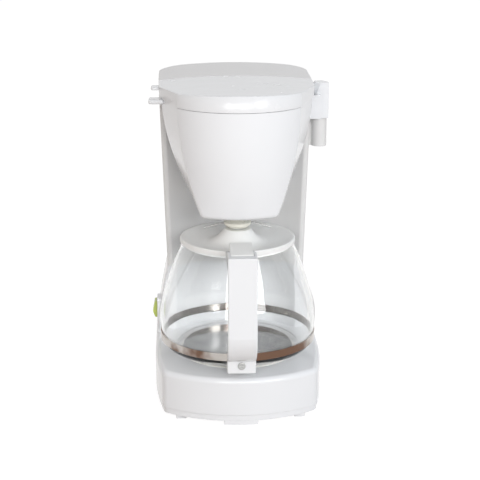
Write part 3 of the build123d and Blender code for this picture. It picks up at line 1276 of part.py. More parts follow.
# ---------------------------------------------------------------- carafe
CARAFE_AXIS = Axis((0, BREW_Y, 0), (0, 0, 1))
LIP_R = CARAFE_MOUTH_R + 0.8
BAND_TOP = BAND_LOW + BAND_HEIGHT
SCREW_Z = BAND_LOW + 1.4
FLANGE_LOW, FLANGE_HIGH = BAND_LOW - 6.0, BAND_LOW + 6.0
FLANGE_FRONT = HANDLE_FRONT - 25.0
TAB_FRONT = -(BAND_GLASS_R + BAND_SHEET + 3.0)      # folded band ends
TAB_WIDTH = 9.0
TAB_ROOT = 1.0              # the folded ends start this far inside the glass line
NUT_LONG, NUT_WIDE, NUT_THICK = 8.0, 6.6, 2.4
NUT_CORNER_R = 0.8
FOLD_LOW = BAND_LOW - 2.5
LID_PIVOT_Y = 14.0 - HANDLE_FRONT
LID_PIVOT_Z = HANDLE_TOP - 3.5
LID_EYE_R = 3.2
ARM_UNDER = LID_PIVOT_Z - LID_EYE_R
BRACKET_TOP = HANDLE_TOP - 9.5
BRACKET_THICK = 4.5
BRACKET_LONG = 14.0         # from the back of the grip to the step in front of the lid
BRACKET_GAP = 2.5           # bracket to glass lip
BEND_START = BAND_LOW + 36.0                    # the grip starts to curve in below this height
BEND_BACK_START = BEND_START + 6.0
BEND_SLOPE = 0.12
FOOT_RISE, FOOT_STEP = 4.0, 2.0
HANDLE_EDGE_R = 1.4
FORK_ROOM = 2.0             # fork slot ahead of the lid's eye


def revolved(*points):
    """Body of revolution about the carafe axis from (radius, height) corners."""
    with BuildPart() as body:
        with BuildSketch(side_plane()):
            with BuildLine():
                Polyline(*points, close=True)
            make_face()
        revolve(axis=CARAFE_AXIS)
    return body.part


def glass_body(inset):
    """Carafe shape: flat foot, straight band, full shoulder drawn in to the mouth."""
    low = CARAFE_LOW + inset
    top = CARAFE_MOUTH_Z
    draw_in = CARAFE_RADIUS - CARAFE_MOUTH_R
    shoulder = [
        (CARAFE_RADIUS - inset - way_in * draw_in, BAND_TOP + way_up * (top - BAND_TOP))
        for way_up, way_in in GLASS_PROFILE
    ]
    with BuildPart() as body:
        with BuildSketch(side_plane()):
            with BuildLine():
                Line((0, top), (0, low))
                Line((0, low), (CARAFE_FOOT_R - inset, low))
                TangentArc((CARAFE_FOOT_R - inset, low), (BAND_GLASS_R - inset, BAND_LOW),
                           tangent=(1, 0.05))
                Line((BAND_GLASS_R - inset, BAND_LOW), (BAND_GLASS_R - inset, BAND_TOP))
                Spline((BAND_GLASS_R - inset, BAND_TOP), *shoulder, tangents=((0.1, 1.0), (-0.1, 1.0)))
                Line((CARAFE_MOUTH_R - inset, top), (0, top))
            make_face()
        revolve(axis=CARAFE_AXIS)
    return body.part


glass_outside = glass_body(0.0)
glass_inside = glass_body(GLASS)
with BuildPart() as carafe_glass:
    add(glass_outside)
    add(glass_inside, mode=Mode.SUBTRACT)
write(carafe_glass, "carafe_glass")

with BuildPart() as carafe_band:
    add(revolved((BAND_GLASS_R, BAND_LOW), (BAND_GLASS_R + BAND_SHEET, BAND_LOW),
                 (BAND_GLASS_R + BAND_SHEET, BAND_TOP), (BAND_GLASS_R, BAND_TOP)))
    # the two ends of the band are folded forward and clamped in the handle's foot
    with BuildSketch(level(FOLD_LOW)):
        with Locations((0, TAB_FRONT)):
            Rectangle(TAB_WIDTH, TAB_ROOT - BAND_GLASS_R - TAB_FRONT, align=(Align.CENTER, Align.MIN))
    extrude(amount=BAND_TOP - FOLD_LOW)
    with BuildSketch(front_plane(-BAND_GLASS_R)):
        with Locations((0, SCREW_Z)):
            Circle(SCREW_R + FIT_GAP)
    extrude(amount=BAND_GLASS_R, mode=Mode.SUBTRACT)
    add(glass_outside, mode=Mode.SUBTRACT)
write(carafe_band, "carafe_band")

with BuildPart() as carafe_handle:
    with BuildSketch(side_plane(-HANDLE_WIDTH / 2)):
        with BuildLine():
            grip_back = -HANDLE_FRONT + HANDLE_THICK
            foot_back = TAB_FRONT - NUT_THICK
            foot_top = FLANGE_HIGH + FOOT_RISE
            bracket_end = -LIP_R - BRACKET_GAP
            bracket_step = grip_back + BRACKET_LONG
            Line((-HANDLE_FRONT, HANDLE_TOP), (-HANDLE_FRONT, BEND_START))
            TangentArc((-HANDLE_FRONT, BEND_START), (-FLANGE_FRONT, FLANGE_HIGH), tangent=(BEND_SLOPE, -1))
            Polyline((-FLANGE_FRONT, FLANGE_HIGH), (-FLANGE_FRONT, FLANGE_LOW), (foot_back, FLANGE_LOW),
                     (foot_back, foot_top), (foot_back - FOOT_STEP, foot_top + FOOT_STEP))
            TangentArc((grip_back, BEND_BACK_START), (foot_back - FOOT_STEP, foot_top + FOOT_STEP),
                       tangent=(BEND_SLOPE, -1))
            Polyline((grip_back, BEND_BACK_START), (grip_back, BRACKET_TOP - BRACKET_THICK),
                     (bracket_end, BRACKET_TOP - BRACKET_THICK), (bracket_end, BRACKET_TOP),
                     (bracket_step, BRACKET_TOP), (bracket_step, HANDLE_TOP), (-HANDLE_FRONT, HANDLE_TOP))
        make_face()
    extrude(amount=HANDLE_WIDTH)
    long_edges = carafe_handle.edges().filter_by(
        lambda e: abs(abs(e.center().X) - HANDLE_WIDTH / 2) < 0.01
        and e.center().Y < BREW_Y - BAND_GLASS_R - HANDLE_EDGE_R)
    fillet(long_edges, HANDLE_EDGE_R)
    # fork for the lid's arm, pin hole and screw hole
    with BuildSketch(level(ARM_UNDER - 1.0)):
        with Locations((0, LID_PIVOT_Y - LID_EYE_R - FORK_ROOM)):
            Rectangle(LID_ARM_WIDTH + 2 * MOVING_GAP, HANDLE_FRONT, align=(Align.CENTER, Align.MIN))
    extrude(amount=HANDLE_TOP, mode=Mode.SUBTRACT)
    with BuildSketch(side_plane(-HANDLE_WIDTH)):
        with Locations((LID_PIVOT_Y, LID_PIVOT_Z)):
            Circle(CARAFE_PIN_R)
    extrude(amount=2 * HANDLE_WIDTH, mode=Mode.SUBTRACT)
    with BuildSketch(front_plane(foot_back + 1.0)):
        with Locations((0, SCREW_Z)):
            Circle(SCREW_R + FIT_GAP)
    extrude(amount=BAND_GLASS_R, mode=Mode.SUBTRACT)
write(carafe_handle, "carafe_handle")

HEAD_THICK = 1.7
HEAD_EDGE_R = 0.9
BAND_SCREW_HEAD_R = 3.65
BAND_RECESS_LONG, BAND_RECESS_WIDE = 4.4, 0.8
shank_back = -BAND_GLASS_R - BAND_SHEET - 0.7
with BuildPart() as band_screw:
    for radius, back, length in (
        (SCREW_R, shank_back, FLANGE_FRONT + shank_back),
        (BAND_SCREW_HEAD_R, -FLANGE_FRONT, HEAD_THICK),
    ):
        with BuildSketch(front_plane(back)):
            with Locations((0, SCREW_Z)):
                Circle(radius)
        extrude(amount=length)
    fillet(band_screw.edges().filter_by(GeomType.CIRCLE).sort_by(Axis.Y)[0], HEAD_EDGE_R)
    with BuildSketch(front_plane(HEAD_EDGE_R - FLANGE_FRONT - HEAD_THICK)):
        with Locations((0, SCREW_Z)):
            Rectangle(BAND_RECESS_LONG, BAND_RECESS_WIDE)
            Rectangle(BAND_RECESS_WIDE, BAND_RECESS_LONG)
    extrude(amount=HEAD_THICK, mode=Mode.SUBTRACT)
write(band_screw, "band_screw")

with BuildPart() as band_nut:
    with BuildSketch(front_plane(TAB_FRONT)):
        with Locations((0, SCREW_Z)):
            RectangleRounded(NUT_LONG, NUT_WIDE, NUT_CORNER_R)
            Circle(SCREW_R + FIT_GAP, mode=Mode.SUBTRACT)
    extrude(amount=NUT_THICK)
write(band_nut, "band_nut")

LID_RIM_R = CARAFE_MOUTH_R + 1.2
LID_RIM_LOW = CARAFE_MOUTH_Z + REST_GAP
LID_RIM_TOP = CARAFE_MOUTH_Z + 4.4
LID_RIM_LAND = 1.6
LID_RIM_EDGE = 0.8
LID_SHEET = 2.0
LID_SKIRT_LOW = CARAFE_MOUTH_Z - 3.0
LID_SKIRT_R = CARAFE_MOUTH_R - GLASS - 1.1
DOME_TOP_R = 13.4
DOME_EDGE = 1.2
DOME_HOLE_R = 5.0
# the dish between rim and dome: radius, height above the glass mouth
LID_DISH = [(46.5, 1.9), (38.0, 0.2), (30.0, -0.2), (24.0, 1.2), (18.5, 5.2)]
POUR_GAP_WIDTH = 18.0
ARM_FOOT = 3.6              # the arm grows out of the rim this far inside its edge
ARM_CROOK = [(-4.5, 0.4), (-10.0, LID_EYE_R)]   # upper corners, from the arm's root and the pivot's height
ARM_CHIN = 0.6


def lid_dish(drop):
    """Corners of the dished face from the rim to the dome, `drop` below its surface."""
    inset = drop / 2
    return [(radius - inset, CARAFE_MOUTH_Z + height - drop) for radius, height in LID_DISH]


with BuildPart() as carafe_lid:
    with BuildSketch(side_plane()):
        with BuildLine():
            rim_in = (LID_RIM_R - LID_RIM_EDGE - LID_RIM_LAND, LID_RIM_TOP)
            dome_edge = (DOME_TOP_R, DOME_TOP - DOME_EDGE)
            under_rim = (LID_SKIRT_R - LID_SHEET, LID_RIM_LOW)
            under_dome = (DOME_TOP_R - LID_SHEET, DOME_TOP - LID_SHEET)
            Spline(rim_in, *lid_dish(0.0), dome_edge)
            Polyline(dome_edge, (DOME_TOP_R - DOME_EDGE, DOME_TOP), (0, DOME_TOP),
                     (0, DOME_TOP - LID_SHEET), under_dome)
            Spline(under_rim, *lid_dish(LID_SHEET), under_dome)
            Polyline(under_rim, (LID_SKIRT_R - LID_SHEET, LID_SKIRT_LOW), (LID_SKIRT_R, LID_SKIRT_LOW),
                     (LID_SKIRT_R, LID_RIM_LOW), (LID_RIM_R, LID_RIM_LOW),
                     (LID_RIM_R, LID_RIM_TOP - LID_RIM_EDGE), (LID_RIM_R - LID_RIM_EDGE, LID_RIM_TOP), rim_in)
        make_face()
    revolve(axis=CARAFE_AXIS)
    with BuildSketch(side_plane(-LID_ARM_WIDTH / 2)):
        with BuildLine():
            root = ARM_FOOT - LID_RIM_R
            crook = [(root + out, LID_PIVOT_Z + up) for out, up in ARM_CROOK]
            eye_top = (LID_PIVOT_Y, LID_PIVOT_Z + LID_EYE_R)
            chin_y = -LID_RIM_R - ARM_CHIN
            Polyline((root, LID_RIM_LOW), (root, LID_RIM_TOP), *crook, eye_top)
            ThreePointArc(eye_top, (LID_PIVOT_Y - LID_EYE_R, LID_PIVOT_Z), (LID_PIVOT_Y, ARM_UNDER))
            Polyline((LID_PIVOT_Y, ARM_UNDER), (crook[1][0], ARM_UNDER),
                     (chin_y, ARM_UNDER - LID_EYE_R), (chin_y, LID_RIM_LOW), (root, LID_RIM_LOW))
        make_face()
    extrude(amount=LID_ARM_WIDTH)
    with BuildSketch(side_plane(-LID_ARM_WIDTH)):
        with Locations((LID_PIVOT_Y, LID_PIVOT_Z)):
            Circle(CARAFE_PIN_R + BORE_CLEARANCE)
    extrude(amount=2 * LID_ARM_WIDTH, mode=Mode.SUBTRACT)
    with BuildSketch(level(CARAFE_MOUTH_Z)):
        Circle(DOME_HOLE_R)
    extrude(amount=DOME_TOP, mode=Mode.SUBTRACT)
    # pouring gap at the back of the rim
    with BuildSketch(level(LID_SKIRT_LOW)):
        with Locations((0, LID_SKIRT_R)):
            Rectangle(POUR_GAP_WIDTH, 4 * LID_SHEET)
    extrude(amount=LID_RIM_LOW - LID_SKIRT_LOW, mode=Mode.SUBTRACT)
write(carafe_lid, "carafe_lid")

PIN_SHORT = 0.2             # the pin stops this far inside the handle's flanks
with BuildPart() as carafe_lid_pin:
    with BuildSketch(side_plane(-HANDLE_WIDTH / 2 + PIN_SHORT)):
        with Locations((LID_PIVOT_Y, LID_PIVOT_Z)):
            Circle(CARAFE_PIN_R)
    extrude(amount=HANDLE_WIDTH - 2 * PIN_SHORT)
write(carafe_lid_pin, "carafe_lid_pin")

# ---------------------------------------------------------------- lead wires inside the base
LEAD_R = 1.1


def lead(bend, *points):
    """One insulated wire through its corner points."""
    with BuildPart() as wire:
        with BuildLine():
            path = FilletPolyline(*[(x, BREW_Y + y, z) for x, y, z in points], radius=bend)
        with BuildSketch(Plane(origin=path @ 0, z_dir=path % 0)):
            Circle(LEAD_R)
        sweep()
    return wire.part


LEAD_BEND = 3.5
LEAD_Z = PLATE_FLOOR_TOP + 7.5
LEAD_ROW_Y = BLOCK_Y - 13.0
LEAD_START_Y = BLOCK_Y - BLOCK_WIDE / 2
THERMOSTAT_LEAD_X = THERMOSTAT_BODY_R - 1.0
SWITCH_LEAD_X = SWITCH_DEPTH - SWITCH_FACE - 4.0
SWITCH_LEAD_Z = SWITCH_Z - BLADE_PITCH / 2
pole = BLOCK_LONG / BLOCK_POLES
leads = [
    # terminal block to the switch
    lead(LEAD_BEND, (GLAND_X - pole, LEAD_START_Y, LEAD_Z), (GLAND_X - pole, LEAD_ROW_Y, LEAD_Z),
         (SWITCH_LEAD_X, LEAD_ROW_Y, LEAD_Z), (SWITCH_LEAD_X, LEAD_ROW_Y, SWITCH_LEAD_Z),
         (SWITCH_LEAD_X, SWITCH_Y + SWITCH_OPENING_Y / 2, SWITCH_LEAD_Z)),
    # terminal block to the thermostat
    lead(LEAD_BEND, (GLAND_X, LEAD_START_Y, LEAD_Z), (GLAND_X, THERMOSTAT_Y, LEAD_Z),
         (THERMOSTAT_LEAD_X, THERMOSTAT_Y, LEAD_Z), (THERMOSTAT_LEAD_X, THERMOSTAT_Y, THERMOSTAT_LOW)),
]
with BuildPart() as lead_wires:
    for wire in leads:
        add(wire)
write(lead_wires, "lead_wires")
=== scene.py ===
"""Looks, light and camera for the drip coffee maker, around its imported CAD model.

Lengths are in metres, colours are linear, and noise scales count features per metre.
"""

import math

import bpy
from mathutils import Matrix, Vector


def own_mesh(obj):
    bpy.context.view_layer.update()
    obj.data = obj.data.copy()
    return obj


# ---------------------------------------------------------------- camera, as the photograph sees it
CAMERA_AT = (-0.0541, -1.3035, 0.5272)
CAMERA_FORWARD = (0.0419, 0.9603, -0.2756)
CAMERA_LENS = 105.0         # mm
SENSOR_WIDTH = 36.0         # mm
VIEW_DEPTH = 50.0

# ---------------------------------------------------------------- light
WORLD_SIDES = 0.62          # room light from all sides
WORLD_TOP = 0.50            # and from straight above
SIDES_UP_TO = 0.2           # height in the room, 1 overhead, where the sides' level ends
TOP_FROM = 0.9              # and where the top's level starts
LEFT_END = -1.0             # place across the room, 1 at the far right, of its left colour
RIGHT_END = 0.5             # and of its right colour
LAMPS_AIM = (0.0, 0.0, 0.17)
LAMPS = (
    # degrees right of the front, degrees up, distance, width, height, watts
    ("lamp_left", -14.0, 18.0, 1.7, 0.40, 0.55, 4.0),
    ("lamp_right", 34.0, 21.0, 1.7, 0.40, 0.55, 5.8),
    ("lamp_front", 8.0, 18.0, 1.9, 0.50, 0.40, 9.2),
)

# ---------------------------------------------------------------- colours
WHITE = (0.83, 0.85, 0.875, 1.0)
# front cover: the shared white plastic darkened, painted shade for the dim light on its top
COVER_WHITE = (0.80, 0.815, 0.835, 1.0)
CARAFE_WHITE = (0.93, 0.94, 0.93, 1.0)
# tank lid: the same plastic lightened, painted light that lifts its dim top to the cover's tone
TANK_LID_WHITE = (0.90, 0.90, 0.90, 1.0)
# tank: a greyer plastic, and partly painted shade from the filter holder above it
TANK_WHITE = (0.78, 0.785, 0.785, 1.0)
CREAM = (0.94, 0.93, 0.83, 1.0)
LIME = (0.50, 0.60, 0.14, 1.0)
STEEL = (0.55, 0.55, 0.54, 1.0)
DARK_STEEL = (0.045, 0.045, 0.048, 1.0)
SILICONE = (0.70, 0.69, 0.66, 1.0)
ALUMINIUM = (0.66, 0.66, 0.67, 1.0)
NEAR_BLACK = (0.03, 0.03, 0.03, 1.0)
WIRE_RED = (0.30, 0.03, 0.02, 1.0)
CERAMIC = (0.78, 0.75, 0.68, 1.0)
GLINT_SPECKLE_STEEL = (0.36, 0.36, 0.36, 1.0)            # lighter speckles on the plate: painted highlights
BAND_LIGHT = (0.48, 0.45, 0.42, 1.0)
BAND_REFLECTED_BROWN = (0.17, 0.10, 0.07, 1.0)             # brown patches of painted reflection of the room on the band
GLASS = (0.965, 0.968, 0.965, 1.0)
GLASS_SHADOW = (0.95, 0.95, 0.95, 1.0)
ROOM_WHITE = (1.0, 1.0, 1.0, 1.0)               # the room to the eye
TABLE = (0.54, 0.48, 0.44, 1.0)                 # what the floor throws back on the machine
TABLE_ROUGH = 0.8
PAPER = (0.90, 0.90, 0.90, 1.0)                 # the floor's own light, as the eye sees it
PAPER_SHADE = (0.25, 0.25, 0.25, 1.0)           # and its lit part, which shadows darken
ROOM_LEFT = (0.85, 0.74, 0.66, 1.0)
ROOM_RIGHT = (0.95, 1.0, 1.06, 1.0)

# ---------------------------------------------------------------- surfaces
FLOOR_SIZE = 12.0
BEVEL_SAMPLES = 4
PLASTIC_IOR = 1.5
GLASS_IOR = 1.47
SOFT_EDGE = 0.0003          # radius to which a moulded edge looks rounded
METAL_EDGE = 0.0002
FINE_DEPTH = 0.0002         # depth of moulded grain, dust and speckle
SCRATCH_DEPTH = 0.00015
SKIN_DEPTH = 0.003          # how far light wanders inside white plastic


def new_material(name):
    """An empty node material with its tree, shader and output."""
    material = bpy.data.materials.new(name)
    material.use_nodes = True
    shader = material.node_tree.nodes["Principled BSDF"]
    return material, material.node_tree, shader


def coordinates(tree):
    """Places on the piece, in metres."""
    return tree.nodes.new("ShaderNodeTexCoord").outputs["Object"]


def noise(tree, where, scale, detail=3.0, roughness=0.55):
    """Cloudy values from 0 to 1."""
    node = tree.nodes.new("ShaderNodeTexNoise")
    node.inputs["Scale"].default_value = scale
    node.inputs["Detail"].default_value = detail
    node.inputs["Roughness"].default_value = roughness
    tree.links.new(where, node.inputs["Vector"])
    return node.outputs["Fac"]


def ramp(tree, value, low, high):
    """value rescaled from 0..1 to low..high."""
    node = tree.nodes.new("ShaderNodeMapRange")
    node.inputs["To Min"].default_value = low
    node.inputs["To Max"].default_value = high
    tree.links.new(value, node.inputs["Value"])
    return node.outputs["Result"]


def stretched(tree, value, low, high):
    """value rescaled so that low..high becomes 0..1."""
    node = tree.nodes.new("ShaderNodeMapRange")
    node.inputs["From Min"].default_value = low
    node.inputs["From Max"].default_value = high
    tree.links.new(value, node.inputs["Value"])
    return node.outputs["Result"]


def shaded(colour, share):
    """colour at a share of its brightness."""
    return tuple(c * share for c in colour[:3]) + (1.0,)


def blend_colours(tree, factor, first, second):
    """first where factor is 0, second where it is 1."""
    node = tree.nodes.new("ShaderNodeMix")
    node.data_type = "RGBA"
    node.inputs["A"].default_value = first
    node.inputs["B"].default_value = second
    tree.links.new(factor, node.inputs["Factor"])
    return node.outputs["Result"]


def rounded_bump(tree, shader, height, strength, distance, radius):
    """Bump from height over normals that a bevel softens at the edges."""
    bump = tree.nodes.new("ShaderNodeBump")
    bump.inputs["Strength"].default_value = strength
    bump.inputs["Distance"].default_value = distance
    tree.links.new(height, bump.inputs["Height"])
    if radius:
        bevel = tree.nodes.new("ShaderNodeBevel")
        bevel.samples = BEVEL_SAMPLES
        bevel.inputs["Radius"].default_value = radius
        tree.links.new(bevel.outputs["Normal"], bump.inputs["Normal"])
    tree.links.new(bump.outputs["Normal"], shader.inputs["Normal"])


def moulded_plastic(name, colour, rough, coat=0.0, grain=0.04, edge=SOFT_EDGE):
    """Injection-moulded plastic: slight mottling, uneven gloss and a fine moulded grain."""
    material, tree, shader = new_material(name)
    where = coordinates(tree)
    cloud = noise(tree, where, scale=14.0, detail=4.0)
    mottled = blend_colours(tree, cloud, shaded(colour, 0.955), colour)
    tree.links.new(mottled, shader.inputs["Base Color"])
    patches = noise(tree, where, scale=60.0, detail=2.0)
    tree.links.new(ramp(tree, patches, rough - 0.05, rough + 0.07), shader.inputs["Roughness"])
    shader.inputs["IOR"].default_value = PLASTIC_IOR
    shader.inputs["Coat Weight"].default_value = coat
    shader.inputs["Coat Roughness"].default_value = 0.08
    shader.inputs["Subsurface Weight"].default_value = 0.06
    shader.inputs["Subsurface Radius"].default_value = (SKIN_DEPTH, SKIN_DEPTH, SKIN_DEPTH)
    fine = noise(tree, where, scale=1400.0, detail=2.0)
    rounded_bump(tree, shader, fine, grain, FINE_DEPTH, edge)
    return material


def rolled_metal(name, colour, rough, scratches=0.25, stretch=(1.0, 1.0, 14.0), edge=METAL_EDGE):
    """Bare metal with drawn marks along its surface and cloudy wear."""
    material, tree, shader = new_material(name)
    where = coordinates(tree)
    mapping = tree.nodes.new("ShaderNodeMapping")
    mapping.inputs["Scale"].default_value = stretch
    tree.links.new(where, mapping.inputs["Vector"])
    marks = noise(tree, mapping.outputs["Vector"], scale=260.0, detail=5.0, roughness=0.7)
    cloud = noise(tree, where, scale=45.0, detail=4.0)
    cloudy = blend_colours(tree, cloud, shaded(colour, 0.72), colour)
    tree.links.new(cloudy, shader.inputs["Base Color"])
    tree.links.new(ramp(tree, marks, rough - 0.08, rough + 0.14), shader.inputs["Roughness"])
    shader.inputs["Metallic"].default_value = 1.0
    rounded_bump(tree, shader, marks, scratches, SCRATCH_DEPTH, edge)
    return material


def warming_plate_metal(name):
    """Dark plate with lighter speckles, painted highlights of its glinting surface."""
    material, tree, shader = new_material(name)
    where = coordinates(tree)
    speckle = noise(tree, where, scale=420.0, detail=6.0, roughness=0.75)
    blotch = noise(tree, where, scale=38.0, detail=4.0, roughness=0.6)
    spots = tree.nodes.new("ShaderNodeMath")
    spots.operation = "MULTIPLY"
    tree.links.new(speckle, spots.inputs[0])
    tree.links.new(blotch, spots.inputs[1])
    # lighter speckles where speckle and blotch meet: painted highlights
    painted_glints = stretched(tree, spots.outputs["Value"], 0.20, 0.38)
    colour = blend_colours(tree, painted_glints, DARK_STEEL, GLINT_SPECKLE_STEEL)
    tree.links.new(colour, shader.inputs["Base Color"])
    tree.links.new(ramp(tree, speckle, 0.22, 0.5), shader.inputs["Roughness"])
    shader.inputs["Metallic"].default_value = 0.85
    rounded_bump(tree, shader, speckle, 0.25, FINE_DEPTH, SOFT_EDGE)
    return material


def band_steel(name):
    """Polished strip with smears, and brown patches of painted reflection of the room it mirrors."""
    material, tree, shader = new_material(name)
    where = coordinates(tree)
    cloud = noise(tree, where, scale=16.0, detail=4.0, roughness=0.6)
    # the cloud lays brown patches of painted reflection over the steel grey
    colour = blend_colours(tree, stretched(tree, cloud, 0.44, 0.56), BAND_LIGHT, BAND_REFLECTED_BROWN)
    tree.links.new(colour, shader.inputs["Base Color"])
    smears = noise(tree, where, scale=500.0, detail=3.0)
    tree.links.new(ramp(tree, smears, 0.08, 0.2), shader.inputs["Roughness"])
    shader.inputs["Metallic"].default_value = 1.0
    rounded_bump(tree, shader, cloud, strength=0.15, distance=0.0006, radius=0.0)
    return material


def carafe_glass(name):
    """Clear blown glass with a faint waviness; its shadow stays light."""
    material, tree, shader = new_material(name)
    where = coordinates(tree)
    shader.inputs["Base Color"].default_value = GLASS
    shader.inputs["Transmission Weight"].default_value = 1.0
    shader.inputs["Roughness"].default_value = 0.0
    shader.inputs["IOR"].default_value = GLASS_IOR
    waves = noise(tree, where, scale=22.0, detail=2.0)
    rounded_bump(tree, shader, waves, strength=0.04, distance=0.002, radius=0.0)
    clear = tree.nodes.new("ShaderNodeBsdfTransparent")
    clear.inputs["Color"].default_value = GLASS_SHADOW
    mix = tree.nodes.new("ShaderNodeMixShader")
    path = tree.nodes.new("ShaderNodeLightPath")
    tree.links.new(path.outputs["Is Shadow Ray"], mix.inputs["Fac"])
    tree.links.new(shader.outputs["BSDF"], mix.inputs[1])
    tree.links.new(clear.outputs["BSDF"], mix.inputs[2])
    tree.links.new(mix.outputs["Shader"], tree.nodes["Material Output"].inputs["Surface"])
    return material


def soft_rubber(name, colour, rough=0.5):
    """Rubber or silicone with a little dust on it."""
    material, tree, shader = new_material(name)
    where = coordinates(tree)
    dust = noise(tree, where, scale=90.0, detail=5.0, roughness=0.7)
    lighter = tuple(min(1.0, c * 1.15 + 0.01) for c in colour[:3]) + (1.0,)
    tree.links.new(blend_colours(tree, dust, colour, lighter), shader.inputs["Base Color"])
    tree.links.new(ramp(tree, dust, rough - 0.1, rough + 0.1), shader.inputs["Roughness"])
    rounded_bump(tree, shader, noise(tree, where, scale=900.0), 0.1, FINE_DEPTH, SOFT_EDGE)
    return material


def seen_directly(tree):
    """1 for rays from the camera, a glossy surface or glass, else 0."""
    path = tree.nodes.new("ShaderNodeLightPath")
    total = path.outputs["Is Camera Ray"]
    for ray in ("Is Glossy Ray", "Is Transmission Ray"):
        either = tree.nodes.new("ShaderNodeMath")
        either.operation = "MAXIMUM"
        tree.links.new(total, either.inputs[0])
        tree.links.new(path.outputs[ray], either.inputs[1])
        total = either.outputs["Value"]
    return total


def dress_nodes(nodes):
    """Gives every CAD node its material."""
    gloss = moulded_plastic("gloss_white", WHITE, 0.20, coat=0.35, grain=0.03)
    cover_white = moulded_plastic("cover_white", COVER_WHITE, 0.24, coat=0.3, grain=0.05, edge=0.0)
    carafe_white = moulded_plastic("lid_white", CARAFE_WHITE, 0.34, grain=0.12)
    satin = moulded_plastic("satin_white", WHITE, 0.38, grain=0.10)
    tank_white = moulded_plastic("tank_white", TANK_WHITE, 0.42, grain=0.10)
    grained = moulded_plastic("grained_white", TANK_LID_WHITE, 0.48, grain=0.25)
    cream = moulded_plastic("cream", CREAM, 0.30)
    lime = moulded_plastic("lime", LIME, 0.22, coat=0.3)
    steel = rolled_metal("plain_steel", STEEL, 0.28)
    aluminium = rolled_metal("cast_aluminium", ALUMINIUM, 0.45, stretch=(1.0, 1.0, 1.0))
    silicone = soft_rubber("silicone", SILICONE, 0.45)
    rubber = soft_rubber("black_rubber", NEAR_BLACK, 0.6)
    wire = soft_rubber("wire_red", WIRE_RED, 0.4)
    ceramic = moulded_plastic("ceramic", CERAMIC, 0.6, grain=0.3)
    looks = {
        gloss: ("filter_holder", "base_housing", "bottom_plate", "carafe_handle", "switch_body"),
        satin: ("feet", "shower_head", "filter_insert"),
        tank_white: ("water_tank",),
        grained: ("tank_lid",),
        cover_white: ("front_cover",),
        carafe_white: ("carafe_lid",),
        cream: ("drip_valve", "check_valve", "riser_tube", "spray_arm"),
        lime: ("switch_rocker",),
        steel: ("base_screws", "heater_clamp", "clamp_screw", "hose_clips", "tank_screws",
                "cover_screws", "lid_hinge_pins", "holder_pin", "valve_spring", "valve_feeler",
                "band_screw", "band_nut", "carafe_lid_pin"),
        aluminium: ("heater_tube", "heating_element"),
        silicone: ("inlet_hose", "riser_hose", "valve_seal", "hot_plate_seal"),
        rubber: ("cord_gland",),
        wire: ("lead_wires",),
        ceramic: ("thermostat", "thermal_fuse", "terminal_block"),
        warming_plate_metal("warming_plate"): ("hot_plate",),
        band_steel("band_steel"): ("carafe_band",),
        carafe_glass("carafe_glass"): ("carafe_glass",),
    }
    for material, names in looks.items():
        for name in names:
            mesh = nodes[name].data
            mesh.materials.clear()
            mesh.materials.append(material)


def add_floor():
    """A white floor that keeps the machine's faint shadow, and a taupe table in the bounced light."""
    bpy.ops.mesh.primitive_plane_add(size=FLOOR_SIZE, location=(0, 0, 0))
    floor = bpy.context.object
    floor.name = "floor"
    material, tree, shader = new_material("floor")
    shader.inputs["Base Color"].default_value = TABLE
    shader.inputs["Roughness"].default_value = TABLE_ROUGH
    glow = tree.nodes.new("ShaderNodeEmission")
    glow.inputs["Color"].default_value = PAPER
    matte = tree.nodes.new("ShaderNodeBsdfDiffuse")
    matte.inputs["Color"].default_value = PAPER_SHADE
    paper = tree.nodes.new("ShaderNodeAddShader")
    tree.links.new(glow.outputs["Emission"], paper.inputs[0])
    tree.links.new(matte.outputs["BSDF"], paper.inputs[1])
    mix = tree.nodes.new("ShaderNodeMixShader")
    tree.links.new(seen_directly(tree), mix.inputs["Fac"])
    tree.links.new(shader.outputs["BSDF"], mix.inputs[1])
    tree.links.new(paper.outputs["Shader"], mix.inputs[2])
    tree.links.new(mix.outputs["Shader"], tree.nodes["Material Output"].inputs["Surface"])
    floor.data.materials.append(material)


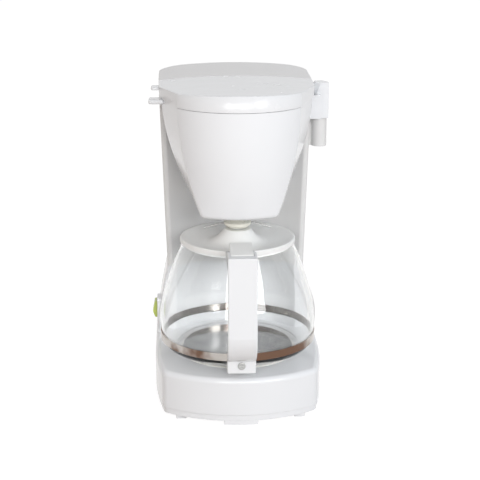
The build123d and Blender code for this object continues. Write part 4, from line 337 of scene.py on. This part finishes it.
def add_world():
    """Soft room light: cool from the right and front, warm from the left; white to the eye."""
    world = bpy.data.worlds.new("room")
    bpy.context.scene.world = world
    world.use_nodes = True
    tree = world.node_tree
    tree.nodes.clear()
    direction = tree.nodes.new("ShaderNodeTexCoord").outputs["Generated"]
    split = tree.nodes.new("ShaderNodeSeparateXYZ")
    tree.links.new(direction, split.inputs["Vector"])
    side = stretched(tree, split.outputs["X"], LEFT_END, RIGHT_END)
    above = stretched(tree, split.outputs["Z"], SIDES_UP_TO, TOP_FROM)
    room = tree.nodes.new("ShaderNodeBackground")
    tree.links.new(ramp(tree, above, WORLD_SIDES, WORLD_TOP), room.inputs["Strength"])
    tree.links.new(blend_colours(tree, side, ROOM_LEFT, ROOM_RIGHT), room.inputs["Color"])
    paper = tree.nodes.new("ShaderNodeBackground")
    paper.inputs["Color"].default_value = ROOM_WHITE
    mix = tree.nodes.new("ShaderNodeMixShader")
    out = tree.nodes.new("ShaderNodeOutputWorld")
    tree.links.new(seen_directly(tree), mix.inputs["Fac"])
    tree.links.new(room.outputs["Background"], mix.inputs[1])
    tree.links.new(paper.outputs["Background"], mix.inputs[2])
    tree.links.new(mix.outputs["Shader"], out.inputs["Surface"])


def add_lamps():
    """Rectangular lamps, each facing the middle of the machine."""
    aim = Vector(LAMPS_AIM)
    for name, azimuth, elevation, distance, width, height, watts in LAMPS:
        a, e = math.radians(azimuth), math.radians(elevation)
        toward = Vector((math.sin(a) * math.cos(e), -math.cos(a) * math.cos(e), math.sin(e)))
        light = bpy.data.lights.new(name, "AREA")
        light.shape = "RECTANGLE"
        light.size, light.size_y = width, height
        light.energy = watts
        lamp = bpy.data.objects.new(name, light)
        lamp.location = aim + toward * distance
        lamp.rotation_euler = toward.to_track_quat("Z", "Y").to_euler()
        bpy.context.collection.objects.link(lamp)


def add_camera():
    """A camera that stands and looks as the photograph's did."""
    data = bpy.data.cameras.new("camera")
    data.lens = CAMERA_LENS
    data.sensor_width = SENSOR_WIDTH
    data.clip_end = VIEW_DEPTH
    camera = bpy.data.objects.new("camera", data)
    camera.location = CAMERA_AT
    camera.rotation_euler = Vector(CAMERA_FORWARD).to_track_quat("-Z", "Y").to_euler()
    bpy.context.collection.objects.link(camera)
    bpy.context.scene.camera = camera


def shorten_spring(spring):
    """Gives the valve's spring a mesh of its own."""
    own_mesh(spring)


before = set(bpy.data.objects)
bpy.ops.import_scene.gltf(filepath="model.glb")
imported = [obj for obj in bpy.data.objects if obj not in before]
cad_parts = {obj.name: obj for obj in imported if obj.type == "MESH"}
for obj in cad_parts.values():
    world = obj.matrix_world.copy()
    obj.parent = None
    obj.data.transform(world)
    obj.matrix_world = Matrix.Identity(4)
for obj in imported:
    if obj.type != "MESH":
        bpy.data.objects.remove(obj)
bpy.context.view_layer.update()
dress_nodes(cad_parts)
shorten_spring(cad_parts["valve_spring"])
add_floor()
add_world()
add_lamps()
add_camera()
bpy.context.scene.view_settings.view_transform = "Standard"
